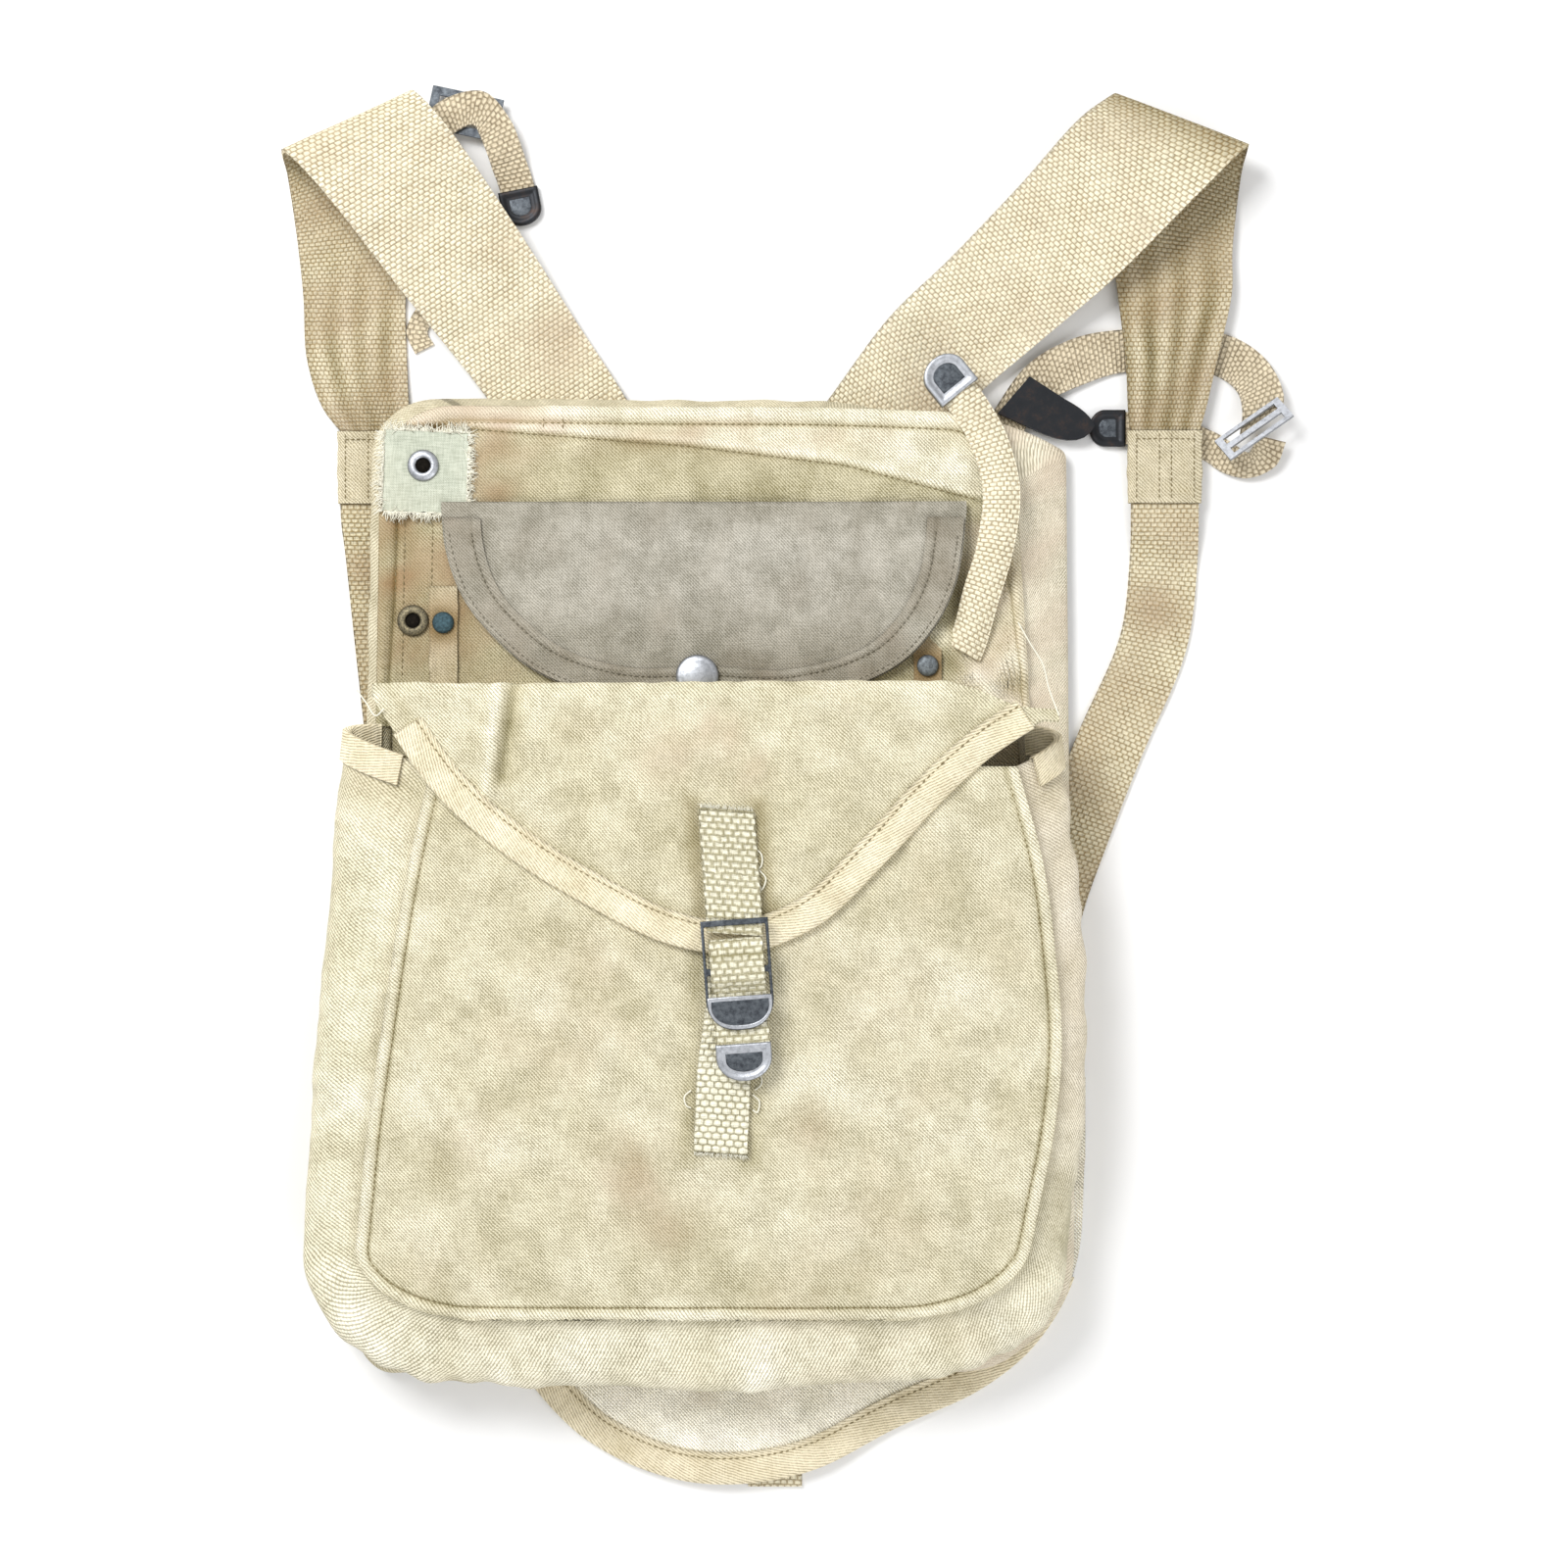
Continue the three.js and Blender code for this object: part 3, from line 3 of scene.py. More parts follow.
import bmesh
import bpy
import numpy as np
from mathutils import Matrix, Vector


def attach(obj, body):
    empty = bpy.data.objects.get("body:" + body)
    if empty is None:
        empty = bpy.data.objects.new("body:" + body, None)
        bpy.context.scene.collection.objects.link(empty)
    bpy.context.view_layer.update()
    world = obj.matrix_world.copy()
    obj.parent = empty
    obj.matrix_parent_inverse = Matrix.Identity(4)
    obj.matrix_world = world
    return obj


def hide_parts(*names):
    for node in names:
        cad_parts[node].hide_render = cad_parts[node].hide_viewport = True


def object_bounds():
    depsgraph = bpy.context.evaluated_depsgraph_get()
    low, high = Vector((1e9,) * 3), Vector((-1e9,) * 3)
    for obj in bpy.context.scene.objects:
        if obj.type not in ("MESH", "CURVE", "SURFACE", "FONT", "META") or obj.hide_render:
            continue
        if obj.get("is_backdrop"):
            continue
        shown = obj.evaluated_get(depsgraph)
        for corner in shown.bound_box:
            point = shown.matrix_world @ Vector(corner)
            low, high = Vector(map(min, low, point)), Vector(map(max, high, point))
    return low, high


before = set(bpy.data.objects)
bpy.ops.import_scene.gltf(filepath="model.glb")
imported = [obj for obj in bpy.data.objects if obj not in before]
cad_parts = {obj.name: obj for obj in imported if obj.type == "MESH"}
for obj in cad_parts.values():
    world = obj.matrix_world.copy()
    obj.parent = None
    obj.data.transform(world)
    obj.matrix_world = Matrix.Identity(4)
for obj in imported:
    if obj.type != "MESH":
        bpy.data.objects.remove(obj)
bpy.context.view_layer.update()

# Rear compartment, back panel: a flat piece of cotton duck that lies over the straps' sewn ends.
# All shapes are worked out in millimetres from the pouch's centre line and the bag's bottom edge,
# and moved to the frame by this shift when a mesh is made.
shift = np.array([-32.711, -273.658, 0.0])
canvas_thick, seam_gap = 1.4, 0.3
bag_height, top_half, bottom_half = 455.0, 161.5, 168.0
under_gap = 4.7
back_top = under_gap + canvas_thick
face_under = back_top + 12


def ease(t):
    """Smooth step: 3t^2 - 2t^3 of t kept between 0 and 1."""
    t = np.clip(t, 0, 1)
    return t * t * (3 - 2 * t)


def bell(d):
    """Bell curve: e to the power of minus d squared."""
    return np.exp(-d * d)


def mix(a, b, t):
    """Straight blend from a at t = 0 to b at t = 1."""
    return a + (b - a) * t


def waves(x, y, size, seed, count=9):
    """Soft uneven field from -1 to 1: a sum of sine waves of random heading, their length near
    size."""
    rng = np.random.default_rng(seed)
    heading = rng.uniform(0, 2 * np.pi, count)
    length = size * rng.uniform(0.6, 1.8, count)
    phase = rng.uniform(0, 2 * np.pi, count)
    total = 0
    for a, w, p in zip(heading, length, phase):
        total = total + np.sin((x * np.cos(a) + y * np.sin(a)) * 2 * np.pi / w + p)
    return total / math.sqrt(count) * 0.7


def fold(x, y, a, b, width, height):
    """Ridge along the line from a to b: its height times a bell of the distance over the width,
    fading out over the last fifth of the line at each end."""
    a, b = np.array(a, float), np.array(b, float)
    span = b - a
    long = np.hypot(*span)
    t = ((x - a[0]) * span[0] + (y - a[1]) * span[1]) / long**2
    off = ((x - a[0]) * span[1] - (y - a[1]) * span[0]) / long
    return height * bell(off / width) * ease(t / 0.2 + 0.5) * ease((1 - t) / 0.2 + 0.5)


def unit(vectors):
    """Each vector divided by its own length."""
    return vectors / (np.linalg.norm(vectors, axis=-1, keepdims=True) + 1e-12)


def run_length(points):
    """Length along a line of points, from its start to each of them."""
    return np.r_[0, np.cumsum(np.linalg.norm(np.diff(points, axis=0), axis=1))]


def ridges(x, y, rows):
    """Sum of the folds in a table of start, end, width and height."""
    return sum(fold(x, y, *row) for row in rows)


def spots(x, y, rows):
    """Sum of round soft spots in a table of centre, radius and strength: each a bell of the
    distance over the radius."""
    return sum(bell(np.hypot(x - a, y - b) / r) * w for a, b, r, w in rows)


def normals_of(mid, ring=False):
    """Cross product of the two grid directions, each taken between neighbours on both sides."""
    if ring:
        across = np.roll(mid, -1, 1) - np.roll(mid, 1, 1)
    else:
        across = np.gradient(mid, axis=1)
    return unit(np.cross(across, np.gradient(mid, axis=0)))


def put_mesh(name, verts, faces, uv, fields, material, nodes):
    """One mesh object from points in millimetres, square or three-sided faces, a flat map in
    metres for each point, and named values for each point."""
    mesh = bpy.data.meshes.new(name)
    sizes = np.array([f.shape[1] for f in faces for _ in range(len(f))], dtype=np.int32)
    corners = np.concatenate([f.ravel() for f in faces]).astype(np.int32)
    mesh.vertices.add(len(verts))
    mesh.vertices.foreach_set("co", ((verts + shift) / 1000).astype(np.float32).ravel())
    mesh.loops.add(len(corners))
    mesh.loops.foreach_set("vertex_index", corners)
    mesh.polygons.add(len(sizes))
    starts = np.concatenate([[0], np.cumsum(sizes)[:-1]]).astype(np.int32)
    mesh.polygons.foreach_set("loop_start", starts)
    mesh.polygons.foreach_set("use_smooth", np.ones(len(sizes), dtype=bool))
    mesh.update(calc_edges=True)
    mesh.validate()
    layer = mesh.uv_layers.new(name="cut")
    layer.data.foreach_set("uv", uv[corners].astype(np.float32).ravel())
    for field, values in fields.items():
        spread = np.broadcast_to(np.asarray(values, np.float32).ravel(), (len(verts),))
        mesh.attributes.new(field, "FLOAT", "POINT").data.foreach_set("value", spread.copy())
    mesh.materials.append(material)
    piece = bpy.data.objects.new(name, mesh)
    bpy.context.scene.collection.objects.link(piece)
    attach(piece, "root")
    if nodes:
        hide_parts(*nodes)
    return piece


def grid_faces(rows, cols, ring, start=0):
    """Squares between neighbouring points of a grid, round to the first column if it is a ring."""
    i = np.arange(cols if ring else cols - 1)
    j = np.arange(rows - 1)[:, None]
    a, b = j * cols + i, j * cols + (i + 1) % cols
    return np.stack([a, b, b + cols, a + cols], -1).reshape(-1, 4) + start


def cloth(name, mid, thick, uv, material, nodes, ring=False, tone=0, soil=0):
    """Cloth wall: the middle surface moved half the thickness each way along its normals, and
    closed round its edges by one row of faces. Faces are turned over if the volume they hold
    comes out negative."""
    rows, cols = mid.shape[:2]
    n = normals_of(mid, ring)
    top, under = mid + n * thick / 2, mid - n * thick / 2
    layer = rows * cols
    upper = grid_faces(rows, cols, ring)
    lower = grid_faces(rows, cols, ring, layer)[:, ::-1]
    index = np.arange(layer).reshape(rows, cols)
    first, last = index[0], index[-1]
    if ring:
        rims = [np.append(first, first[0])[::-1], np.append(last, last[0])]
    else:
        rims = [np.concatenate([first[::-1], index[1:, 0], last[1:], index[-2:0:-1, -1],
                                first[-1:]])]
    lips = [np.stack([r[1:], r[:-1], r[:-1] + layer, r[1:] + layer], -1) for r in rims]
    verts = np.concatenate([top.reshape(-1, 3), under.reshape(-1, 3)])
    flat = np.concatenate([uv.reshape(-1, 2)] * 2)
    fields = {key: np.concatenate([np.broadcast_to(value, (rows, cols)).ravel()] * 2)
              for key, value in (("tone", tone), ("soil", soil))}
    faces = np.concatenate([upper, lower, *lips])
    a, b, c, d = (verts[faces[:, k]] for k in range(4))
    if (a * (np.cross(b - a, c - a) + np.cross(c - a, d - a))).sum() < 0:
        faces = faces[:, ::-1]
    return put_mesh(name, verts, [faces], flat, fields, material, nodes)


def shader_kit(name):
    """New material, its shader's sockets and short makers of nodes: feed sets or links a socket,
    node makes any kind, calc is one step of arithmetic, blend mixes two colours, noise is read
    at a place that may be stretched, shaped is a smooth step from low to high, and bump lifts
    the surface by a height times a distance in millimetres."""
    mat = bpy.data.materials.new(name)
    mat.use_nodes = True
    tree = mat.node_tree
    inputs = tree.nodes["Principled BSDF"].inputs

    def feed(socket, value):
        if isinstance(value, (int, float)):
            socket.default_value = value
        elif isinstance(value, tuple):
            socket.default_value = (*value, 1)
        else:
            tree.links.new(value, socket)

    def node(kind, **given):
        made = tree.nodes.new(kind)
        for key, value in given.items():
            setattr(made, key, value)
        return made

    def calc(kind, *given):
        made = node("ShaderNodeMath", operation=kind)
        for socket, value in zip(made.inputs, given):
            feed(socket, value)
        return made.outputs[0]

    def blend(amount, a, b):
        made = node("ShaderNodeMix", data_type="RGBA")
        for k, value in ((0, amount), (6, a), (7, b)):
            feed(made.inputs[k], value)
        return made.outputs[2]

    def noise(place, scale, stretch=None, detail=4.0, rough=0.55):
        if stretch:
            mapping = node("ShaderNodeMapping")
            mapping.inputs["Scale"].default_value = stretch
            feed(mapping.inputs["Vector"], place)
            place = mapping.outputs[0]
        made = node("ShaderNodeTexNoise")
        for key, value in (("Scale", scale), ("Detail", detail), ("Roughness", rough),
                           ("Vector", place)):
            feed(made.inputs[key], value)
        return made.outputs[0]

    def shaped(value, low, high):
        made = node("ShaderNodeMapRange", interpolation_type="SMOOTHSTEP")
        for k, given in enumerate((value, low, high)):
            feed(made.inputs[k], given)
        return made.outputs[0]

    def bump(height, strength, distance):
        made = node("ShaderNodeBump")
        for key, value in (("Strength", strength), ("Distance", distance / 1000),
                           ("Height", height)):
            feed(made.inputs[key], value)
        feed(inputs["Normal"], made.outputs[0])

    return mat, inputs, feed, node, calc, blend, noise, shaped, bump


def fabric(name, light, dark, stain, weave, pitch, relief, streak=0.5, mottle=0.25,
           span=(0.2, 0.8)):
    """Woven cloth. Thread height is worked out on the cut's own map: twill as slanted ridges,
    pebble as round lumps staggered row by row, rib as fine ribs. Light and dark blend by that
    height, by slubs drawn out along both threads and by soft blotches; tone lightens or
    darkens, and soil blends in the stain."""
    mat, inputs, feed, node, calc, blend, noise, shaped, bump = shader_kit(name)

    def ridged(value):
        """Round ridges, one unit apart, from 0 to 1."""
        return calc("ABSOLUTE", calc("SINE", calc("MULTIPLY", value, math.pi)))

    where = node("ShaderNodeTexCoord")
    uv, place = where.outputs["UV"], where.outputs["Object"]
    split = node("ShaderNodeSeparateXYZ")
    feed(split.inputs[0], uv)
    wobble = calc("MULTIPLY", calc("SUBTRACT", noise(uv, 260.0, detail=0.0), 0.5), 0.3)
    u, v = (calc("ADD", calc("MULTIPLY", split.outputs[k], 1000 / pitch[k]), wobble)
            for k in range(2))
    if weave == "twill":
        cross = ridged(calc("SUBTRACT", u, v))
        height = calc("MULTIPLY", ridged(calc("ADD", u, v)),
                      calc("ADD", calc("MULTIPLY", cross, 0.45), 0.55))
    elif weave == "pebble":
        odd = calc("MULTIPLY", calc("MODULO", calc("ABSOLUTE", calc("FLOOR", v)), 2.0), 0.5)
        height = calc("POWER", calc("MULTIPLY", ridged(calc("ADD", u, odd)), ridged(v)), 0.95)
    else:
        height = ridged(calc("ADD", u, calc("MULTIPLY", v, 0.35)))
    long, short = 1500, 120
    slubs = [calc("MULTIPLY", shaped(noise(uv, 1.0, stretch, 1.0), 0.33, 0.67), 0.5)
             for stretch in ((long, short, 1), (short, long, 1))]
    slub = calc("ADD", *slubs)
    lit = calc("ADD", calc("MULTIPLY", height, 1 - streak), calc("MULTIPLY", slub, streak))
    colour = blend(shaped(lit, *span), dark, light)
    cloud = noise(place, 55.0, detail=5.0, rough=0.68)
    colour = blend(mottle, colour, blend(shaped(cloud, 0.32, 0.66), dark, light))
    patches = shaped(noise(place, 14.0, detail=4.0, rough=0.66), 0.5, 0.74)
    soil, tone = (node("ShaderNodeAttribute", attribute_name=key).outputs["Fac"]
                  for key in ("soil", "tone"))
    amount = calc("MAXIMUM", calc("MULTIPLY", patches, 0.16), soil)
    grimy = calc("MULTIPLY", amount, calc("ADD", 0.55, calc("MULTIPLY", cloud, 0.9)))
    bright = node("ShaderNodeHueSaturation")
    feed(bright.inputs["Color"], blend(calc("MINIMUM", grimy, 1.0), colour, stain))
    feed(bright.inputs["Value"], calc("ADD", 1.0, tone))
    feed(bright.inputs["Saturation"], calc("SUBTRACT", 1.0, calc("MULTIPLY", tone, 0.9)))
    feed(inputs["Base Color"], bright.outputs[0])
    feed(inputs["Roughness"], 0.92)
    feed(inputs["Specular IOR Level"], 0.25)
    bump(calc("ADD", height, calc("MULTIPLY", slub, 0.9)), 0.85, relief)
    return mat


duck = fabric("faded_olive_duck", (0.925, 0.865, 0.655), (0.30, 0.265, 0.15), (0.50, 0.375, 0.25),
              "twill", (1.7, 1.7), 0.35, streak=0.3)


def rounded_loop(corners, steps, side_steps):
    """Closed outline of straight sides and round corners, with as many points for every corner
    and side, so that two such outlines match point by point."""
    points = []
    count = len(corners)
    arcs = []
    for k, (x, y, radius) in enumerate(corners):
        here = np.array([x, y])
        back = np.array(corners[k - 1][:2]) - here
        on = np.array(corners[(k + 1) % count][:2]) - here
        back, on = back / np.hypot(*back), on / np.hypot(*on)
        half = math.acos(float(np.clip(back @ on, -1, 1))) / 2
        start, end = here + back * radius / math.tan(half), here + on * radius / math.tan(half)
        centre = here + (back + on) / np.hypot(*(back + on)) * radius / math.sin(half)
        a, b = start - centre, end - centre
        turn = math.atan2(a[0] * b[1] - a[1] * b[0], a @ b) * np.linspace(0, 1, steps + 1)
        spun = np.stack([a[0] * np.cos(turn) - a[1] * np.sin(turn),
                         a[0] * np.sin(turn) + a[1] * np.cos(turn)], -1)
        arcs.append(centre + spun)
    for k, arc in enumerate(arcs):
        t = np.linspace(0, 1, side_steps + 1)[1:-1, None]
        points += [arc, mix(arc[-1], arcs[(k + 1) % count][0], t)]
    return np.concatenate(points)


def span_grid(loop, cols, rows):
    """Grid inside an outline: rows of equal height at cosine steps up the outline, each run
    from the outline's left side to its right."""
    low, high = loop[:, 1].argmin(), loop[:, 1].argmax()
    a, b = sorted((low, high))
    chains = [loop[a:b + 1], np.concatenate([loop[b:], loop[:a + 1]])]
    chains = [c[np.argsort(c[:, 1], kind="stable")] for c in chains]
    chains.sort(key=lambda c: c[:, 0].mean())
    up = 0.5 - 0.5 * np.cos(np.linspace(0.04, np.pi - 0.04, rows))
    y = mix(loop[low, 1], loop[high, 1], up)
    left, right = (np.interp(y, c[:, 1], c[:, 0]) for c in chains)
    x = mix(left[:, None], right[:, None], np.linspace(0, 1, cols))
    return x, np.broadcast_to(y[:, None], x.shape)


def plan_map(x, y):
    """The flat map of cloth that lies nearly level: its place in plan, in metres."""
    return np.stack([x, y], -1) / 1000


back_corners = [(-top_half, bag_height, 28), (-bottom_half, 0, 15), (bottom_half, 0, 56),
                (top_half + 2, bag_height - 23, 5), (0.35 * top_half, bag_height - 2, 60)]
back_loop = rounded_loop(back_corners, 14, 40)
x, y = span_grid(back_loop, 50, 70)
z = under_gap + canvas_thick / 2 + 0.5 * waves(x, y, 60, 1) - 0.25
# Painted shade on the back panel under the two eyelets, for the dark inside of their holes.
painted_eyelet_shade = spots(x, y, ((-136.5, 423, 8, 0.85), (-141.5, 351, 8, 0.85)))
cloth("back_panel", np.stack([x, y, z], -1), canvas_thick - 0.2, plan_map(x, y), duck,
      ["rear_back_panel"], tone=-0.04 + 0.05 * waves(x, y, 90, 2) - painted_eyelet_shade)

# Rear compartment, gusset: a strip of the same duck sewn all round between the back panel and
# the face panel, a little full, so that it puffs out and puckers along its seams.
face_corners = [(-top_half + 5, bag_height - 4, 34), (-bottom_half + 5, 4, 15),
                (bottom_half - 5, 4, 56), (top_half - 24, bag_height - 8, 34),
                (0.3 * top_half, bag_height - 5, 60)]
face_loop = rounded_loop(face_corners, 14, 40)


def face_level(x, y):
    """Underside of the face panel: level, with a low rise along the yoke."""
    across = np.maximum(0, 1 - (x / top_half) ** 2)
    return face_under + 3.5 * across * bell((y - 428) / 26)


def face_top(x, y):
    """Upper side of the face panel."""
    return face_level(x, y) + canvas_thick


lengths = run_length(back_loop)
t = np.linspace(0, 1, 12)[:, None, None]
low, high = back_loop[None], face_loop[None]
plan = mix(low, high, ease(t))
outward = unit(plan - np.array([0, bag_height / 2]))
crumple = waves(lengths[None], t[..., 0] * 12, 26, 3) * np.sin(np.pi * t[..., 0])
plan = plan + outward * (2.5 * np.sin(np.pi * t) ** 2 - 0.7 + 0.8 * crumple[..., None])
top_z = face_level(high[..., 0], high[..., 1]) - seam_gap - 0.15
z = mix(back_top + seam_gap, top_z, t[..., 0])
mid = np.concatenate([plan, z[..., None]], 2)
climb = np.cumsum(np.linalg.norm(np.diff(mid, axis=0, prepend=mid[:1]), axis=2), axis=0)
uv = np.stack([np.broadcast_to(lengths, z.shape), climb], -1) / 1000
x, y = plan[..., 0], plan[..., 1]
blotched = np.clip(0.8 + waves(x, y, 30, 8), 0, 1.5)
# Tone: painted light and shade following the crumples, and paler towards the right.
cloth("rear_side", mid, canvas_thick, uv, duck, ["rear_gusset"], ring=True,
      tone=0.04 * crumple - 0.03 + 0.28 * ease((x - 80) / 30),
      soil=0.15 + 0.3 * ease((x - 95) / 25) * blotched)

# Rear compartment, face panel: duck with its mouth cut under the inner flap, a folded and
# topstitched rim, and a yoke band across the top. Worn pale above the band, brown at the left.
mouth_corners = [(-98, 396, 6), (-90, 350, 16), (106, 353, 16), (116, 396, 6), (40, 396.6, 8)]
mouth_loop = rounded_loop(mouth_corners, 14, 40)
t = np.linspace(0, 1, 64)[:, None, None]
plan = mix(mouth_loop[None], face_loop[None], t)
x, y = plan[..., 0], plan[..., 1]
to_rim = np.linalg.norm(face_loop[None] - plan, axis=2)


def band_line(x):
    """Height of the yoke's lower stitch line: three straight runs from the left to the right."""
    return np.interp(x, [-128, -14, 60, 122], [441, 432, 423, 407])


face_creases = (((96, 352), (146, 300), 5, 2.6), ((108, 322), (150, 332), 4, 2.2),
                ((104, 340), (140, 366), 5, 1.6), ((102, 334), (148, 318), 4, -1.8),
                ((118, 300), (148, 352), 4, 1.4), ((126, 404), (146, 404), 2, 1.0),
                ((-128, 432), (-60, 446), 6, 1.0), ((60, 440), (118, 420), 7, 1.2))
rim_stitch = 8.0


def face_relief(x, y, to_rim):
    """Relief of the face panel: rim ridge and groove, yoke seams, rumples and folds."""
    seamed = ease((y - 330) / 40)
    above = y - band_line(x)
    rim = 1.1 * bell((to_rim - 3.5) / 2.6) - 0.5 * bell((to_rim - rim_stitch) / 1.4)
    yoke = 0.9 * bell((above - 2.5) / 2.2) - 0.5 * bell(above / 1.2)
    join = 0.8 * bell((x + 76) / 3.2) * ease(above / 4)
    rumple = seamed * (0.7 * waves(x, y, 34, 4) + 0.35 * waves(x, y, 13, 5))
    return rim + yoke * seamed + join + rumple + ridges(x, y, face_creases)


seamed = ease((y - 330) / 40)
z = face_level(x, y) + 0.7 + face_relief(x, y, to_rim)
above = ease((y - band_line(x)) / 3)
right_end = ease((x - 104) / 16) * ease((402 - y) / 10)
# Tone: paler above the yoke's seam line and darker below it, painted shade in the rim's stitch
# groove and the yoke's seam groove, painted light and shade following the relief, and a painted
# dark spot for the shade inside the mouth's right end.
tone = (0.09 * above - 0.23 * (1 - above) + 0.05 * waves(x, y, 40, 6)
        - 0.06 * ease((-100 - x) / 20) * ease((410 - y) / 12)
        - 0.36 * bell((to_rim - rim_stitch) / 1.3) + 0.12 * bell((to_rim - 3) / 2.5) * above
        - 0.12 * bell((y - band_line(x)) / 1.6) * seamed + 0.10 * face_relief(x, y, 99.0)
        + 0.28 * right_end - 0.4 * bell(np.hypot((x - 112) / 6, (y - 350) / 24)))
brown = (0.8 * ease((-70 - x) / 50) * ease((y - 300) / 60) + 0.35 * bell((x + 84) / 22) * above
         + 0.4 * right_end + 0.4 * bell((x + 10) / 90) * bell((y - 437) / 10))
brown = brown * np.clip(0.8 + 0.5 * waves(x, y, 18, 7), 0, 1.6)
cloth("face_panel", np.stack([x, y, z], -1), canvas_thick - 0.2, plan_map(x, y), duck,
      ["rear_face_panel"], ring=True, tone=tone, soil=brown)


def stitches(name, runs, material, pitch=3.0, length=2.1, thick=0.62):
    """Lockstitches: for each run, given as its points, small spindles at equal steps along it,
    a little turned and sunk at their ends into the cloth."""
    template_u = np.linspace(-1, 1, 5)
    around = np.linspace(0, 2 * np.pi, 6)[:-1]
    swell = np.sqrt(np.clip(1 - template_u**2 * 0.92, 0, 1))
    places, aims = [], []
    for run in runs:
        steps = run_length(run)
        at = np.arange(pitch / 2, steps[-1], pitch)
        here, ahead, before = (
            np.stack([np.interp(at + off, steps, run[:, k]) for k in range(3)], -1)
            for off in (0, 0.4, -0.4))
        places.append(here)
        aims.append(unit(ahead - before))
    place, aim = np.concatenate(places), np.concatenate(aims)
    rng = np.random.default_rng(len(place))
    aim = aim + np.cross(aim, [0, 0, 1]) * rng.normal(0, 0.09, len(aim))[:, None]
    side = unit(np.cross(aim, [0, 0, 1]))
    up = np.cross(side, aim)
    long = (length / 2 * rng.uniform(0.85, 1.12, len(place)))[:, None, None, None]
    u = template_u[None, :, None, None]
    r = (thick / 2 * swell)[None, :, None, None]
    c, s = np.cos(around)[None, None, :, None], np.sin(around)[None, None, :, None]
    sink = (-0.25 * template_u**2)[None, :, None, None]
    verts = (place[:, None, None] + aim[:, None, None] * u * long + side[:, None, None] * r * c
             + up[:, None, None] * (r * s * 0.8 + sink))
    count = len(place)
    base = np.arange(count)[:, None] * 25
    quads = (grid_faces(5, 5, True)[None] + base[..., None]).reshape(-1, 4)
    ends = np.array([[4, 3, 2, 1, 0], [20, 21, 22, 23, 24]])
    caps = (ends[None] + base[..., None]).reshape(-1, 5)
    uv = np.zeros((count * 25, 2))
    fields = {"tone": np.repeat(rng.uniform(-0.12, 0.1, count), 25), "soil": 0.0}
    return put_mesh(name, verts.reshape(-1, 3), [quads[:, ::-1], caps[:, ::-1]], uv, fields,
                    material, [])


def on_face(points, to_rim=99.0):
    """Points in plan laid on the face panel, so far in from its rim."""
    x, y = np.asarray(points, float).T
    return np.c_[x, y, face_top(x, y) + face_relief(x, y, to_rim) + 0.15]


def inset_loop(loop, distance):
    """Outline moved inwards by a distance along its own normals in plan."""
    tangent = np.roll(loop, -1, 0) - np.roll(loop, 1, 0)
    normal = unit(np.stack([-tangent[:, 1], tangent[:, 0]], -1))
    inward = np.sign(((loop.mean(0) - loop) * normal).sum(1))[:, None]
    return loop + normal * inward * distance


thread = fabric("cotton_thread", (0.40, 0.33, 0.18), (0.22, 0.175, 0.09), (0.4, 0.3, 0.2),
                "rib", (0.5, 0.5), 0.05, mottle=0.1)
rim = inset_loop(face_loop, rim_stitch)
rim = rim[rim[:, 1] > 322]
rim = rim[np.argsort(np.arctan2(rim[:, 1] - 322, rim[:, 0]))]
xs = np.linspace(-125, 120, 90)
runs = [on_face(rim, rim_stitch), on_face(np.c_[xs, band_line(xs)])]
for x0 in (-80.5, -71.5):
    ys = np.linspace(band_line(x0) + 3, 446, 12)
    runs.append(on_face(np.c_[np.full(12, x0), ys]))
for x0 in (-146, -133):
    ys = np.linspace(325, 400 if x0 < -140 else 398, 30)
    runs.append(on_face(np.c_[x0 + 0.02 * (ys - 360), ys]))
stitches("face_stitching", runs, thread)

# Repair patch: a square of paler green-grey twill sewn over the worn top left corner, its cut
# edges frayed all round, with an eyelet set through it.
patch_cloth = fabric("patch_twill", (0.70, 0.73, 0.61), (0.38, 0.41, 0.32), (0.55, 0.50, 0.36),
                     "twill", (0.8, 0.8), 0.2, mottle=0.25)
patch_x, patch_y = -135.5, 420.0
u, v = np.meshgrid(np.linspace(-1, 1, 48), np.linspace(-1, 1, 48))
ragged = 0.7 * waves(u * 20, v * 20, 5, 8)
x = patch_x + u * (19.6 + ragged * np.abs(u)) + 0.6 * v
y = patch_y + v * (19.0 + ragged * np.abs(v)) - 0.9 * u
to_edge = np.maximum(np.abs(u), np.abs(v))
z = face_top(x, y) + 1.25 + 0.35 * waves(x, y, 12, 9) - 0.35 * to_edge**6
patch = cloth("corner_patch", np.stack([x, y, z], -1), 0.9, plan_map(x, y), patch_cloth,
              ["repair_patch"], tone=0.1 * to_edge**8 - 0.03)


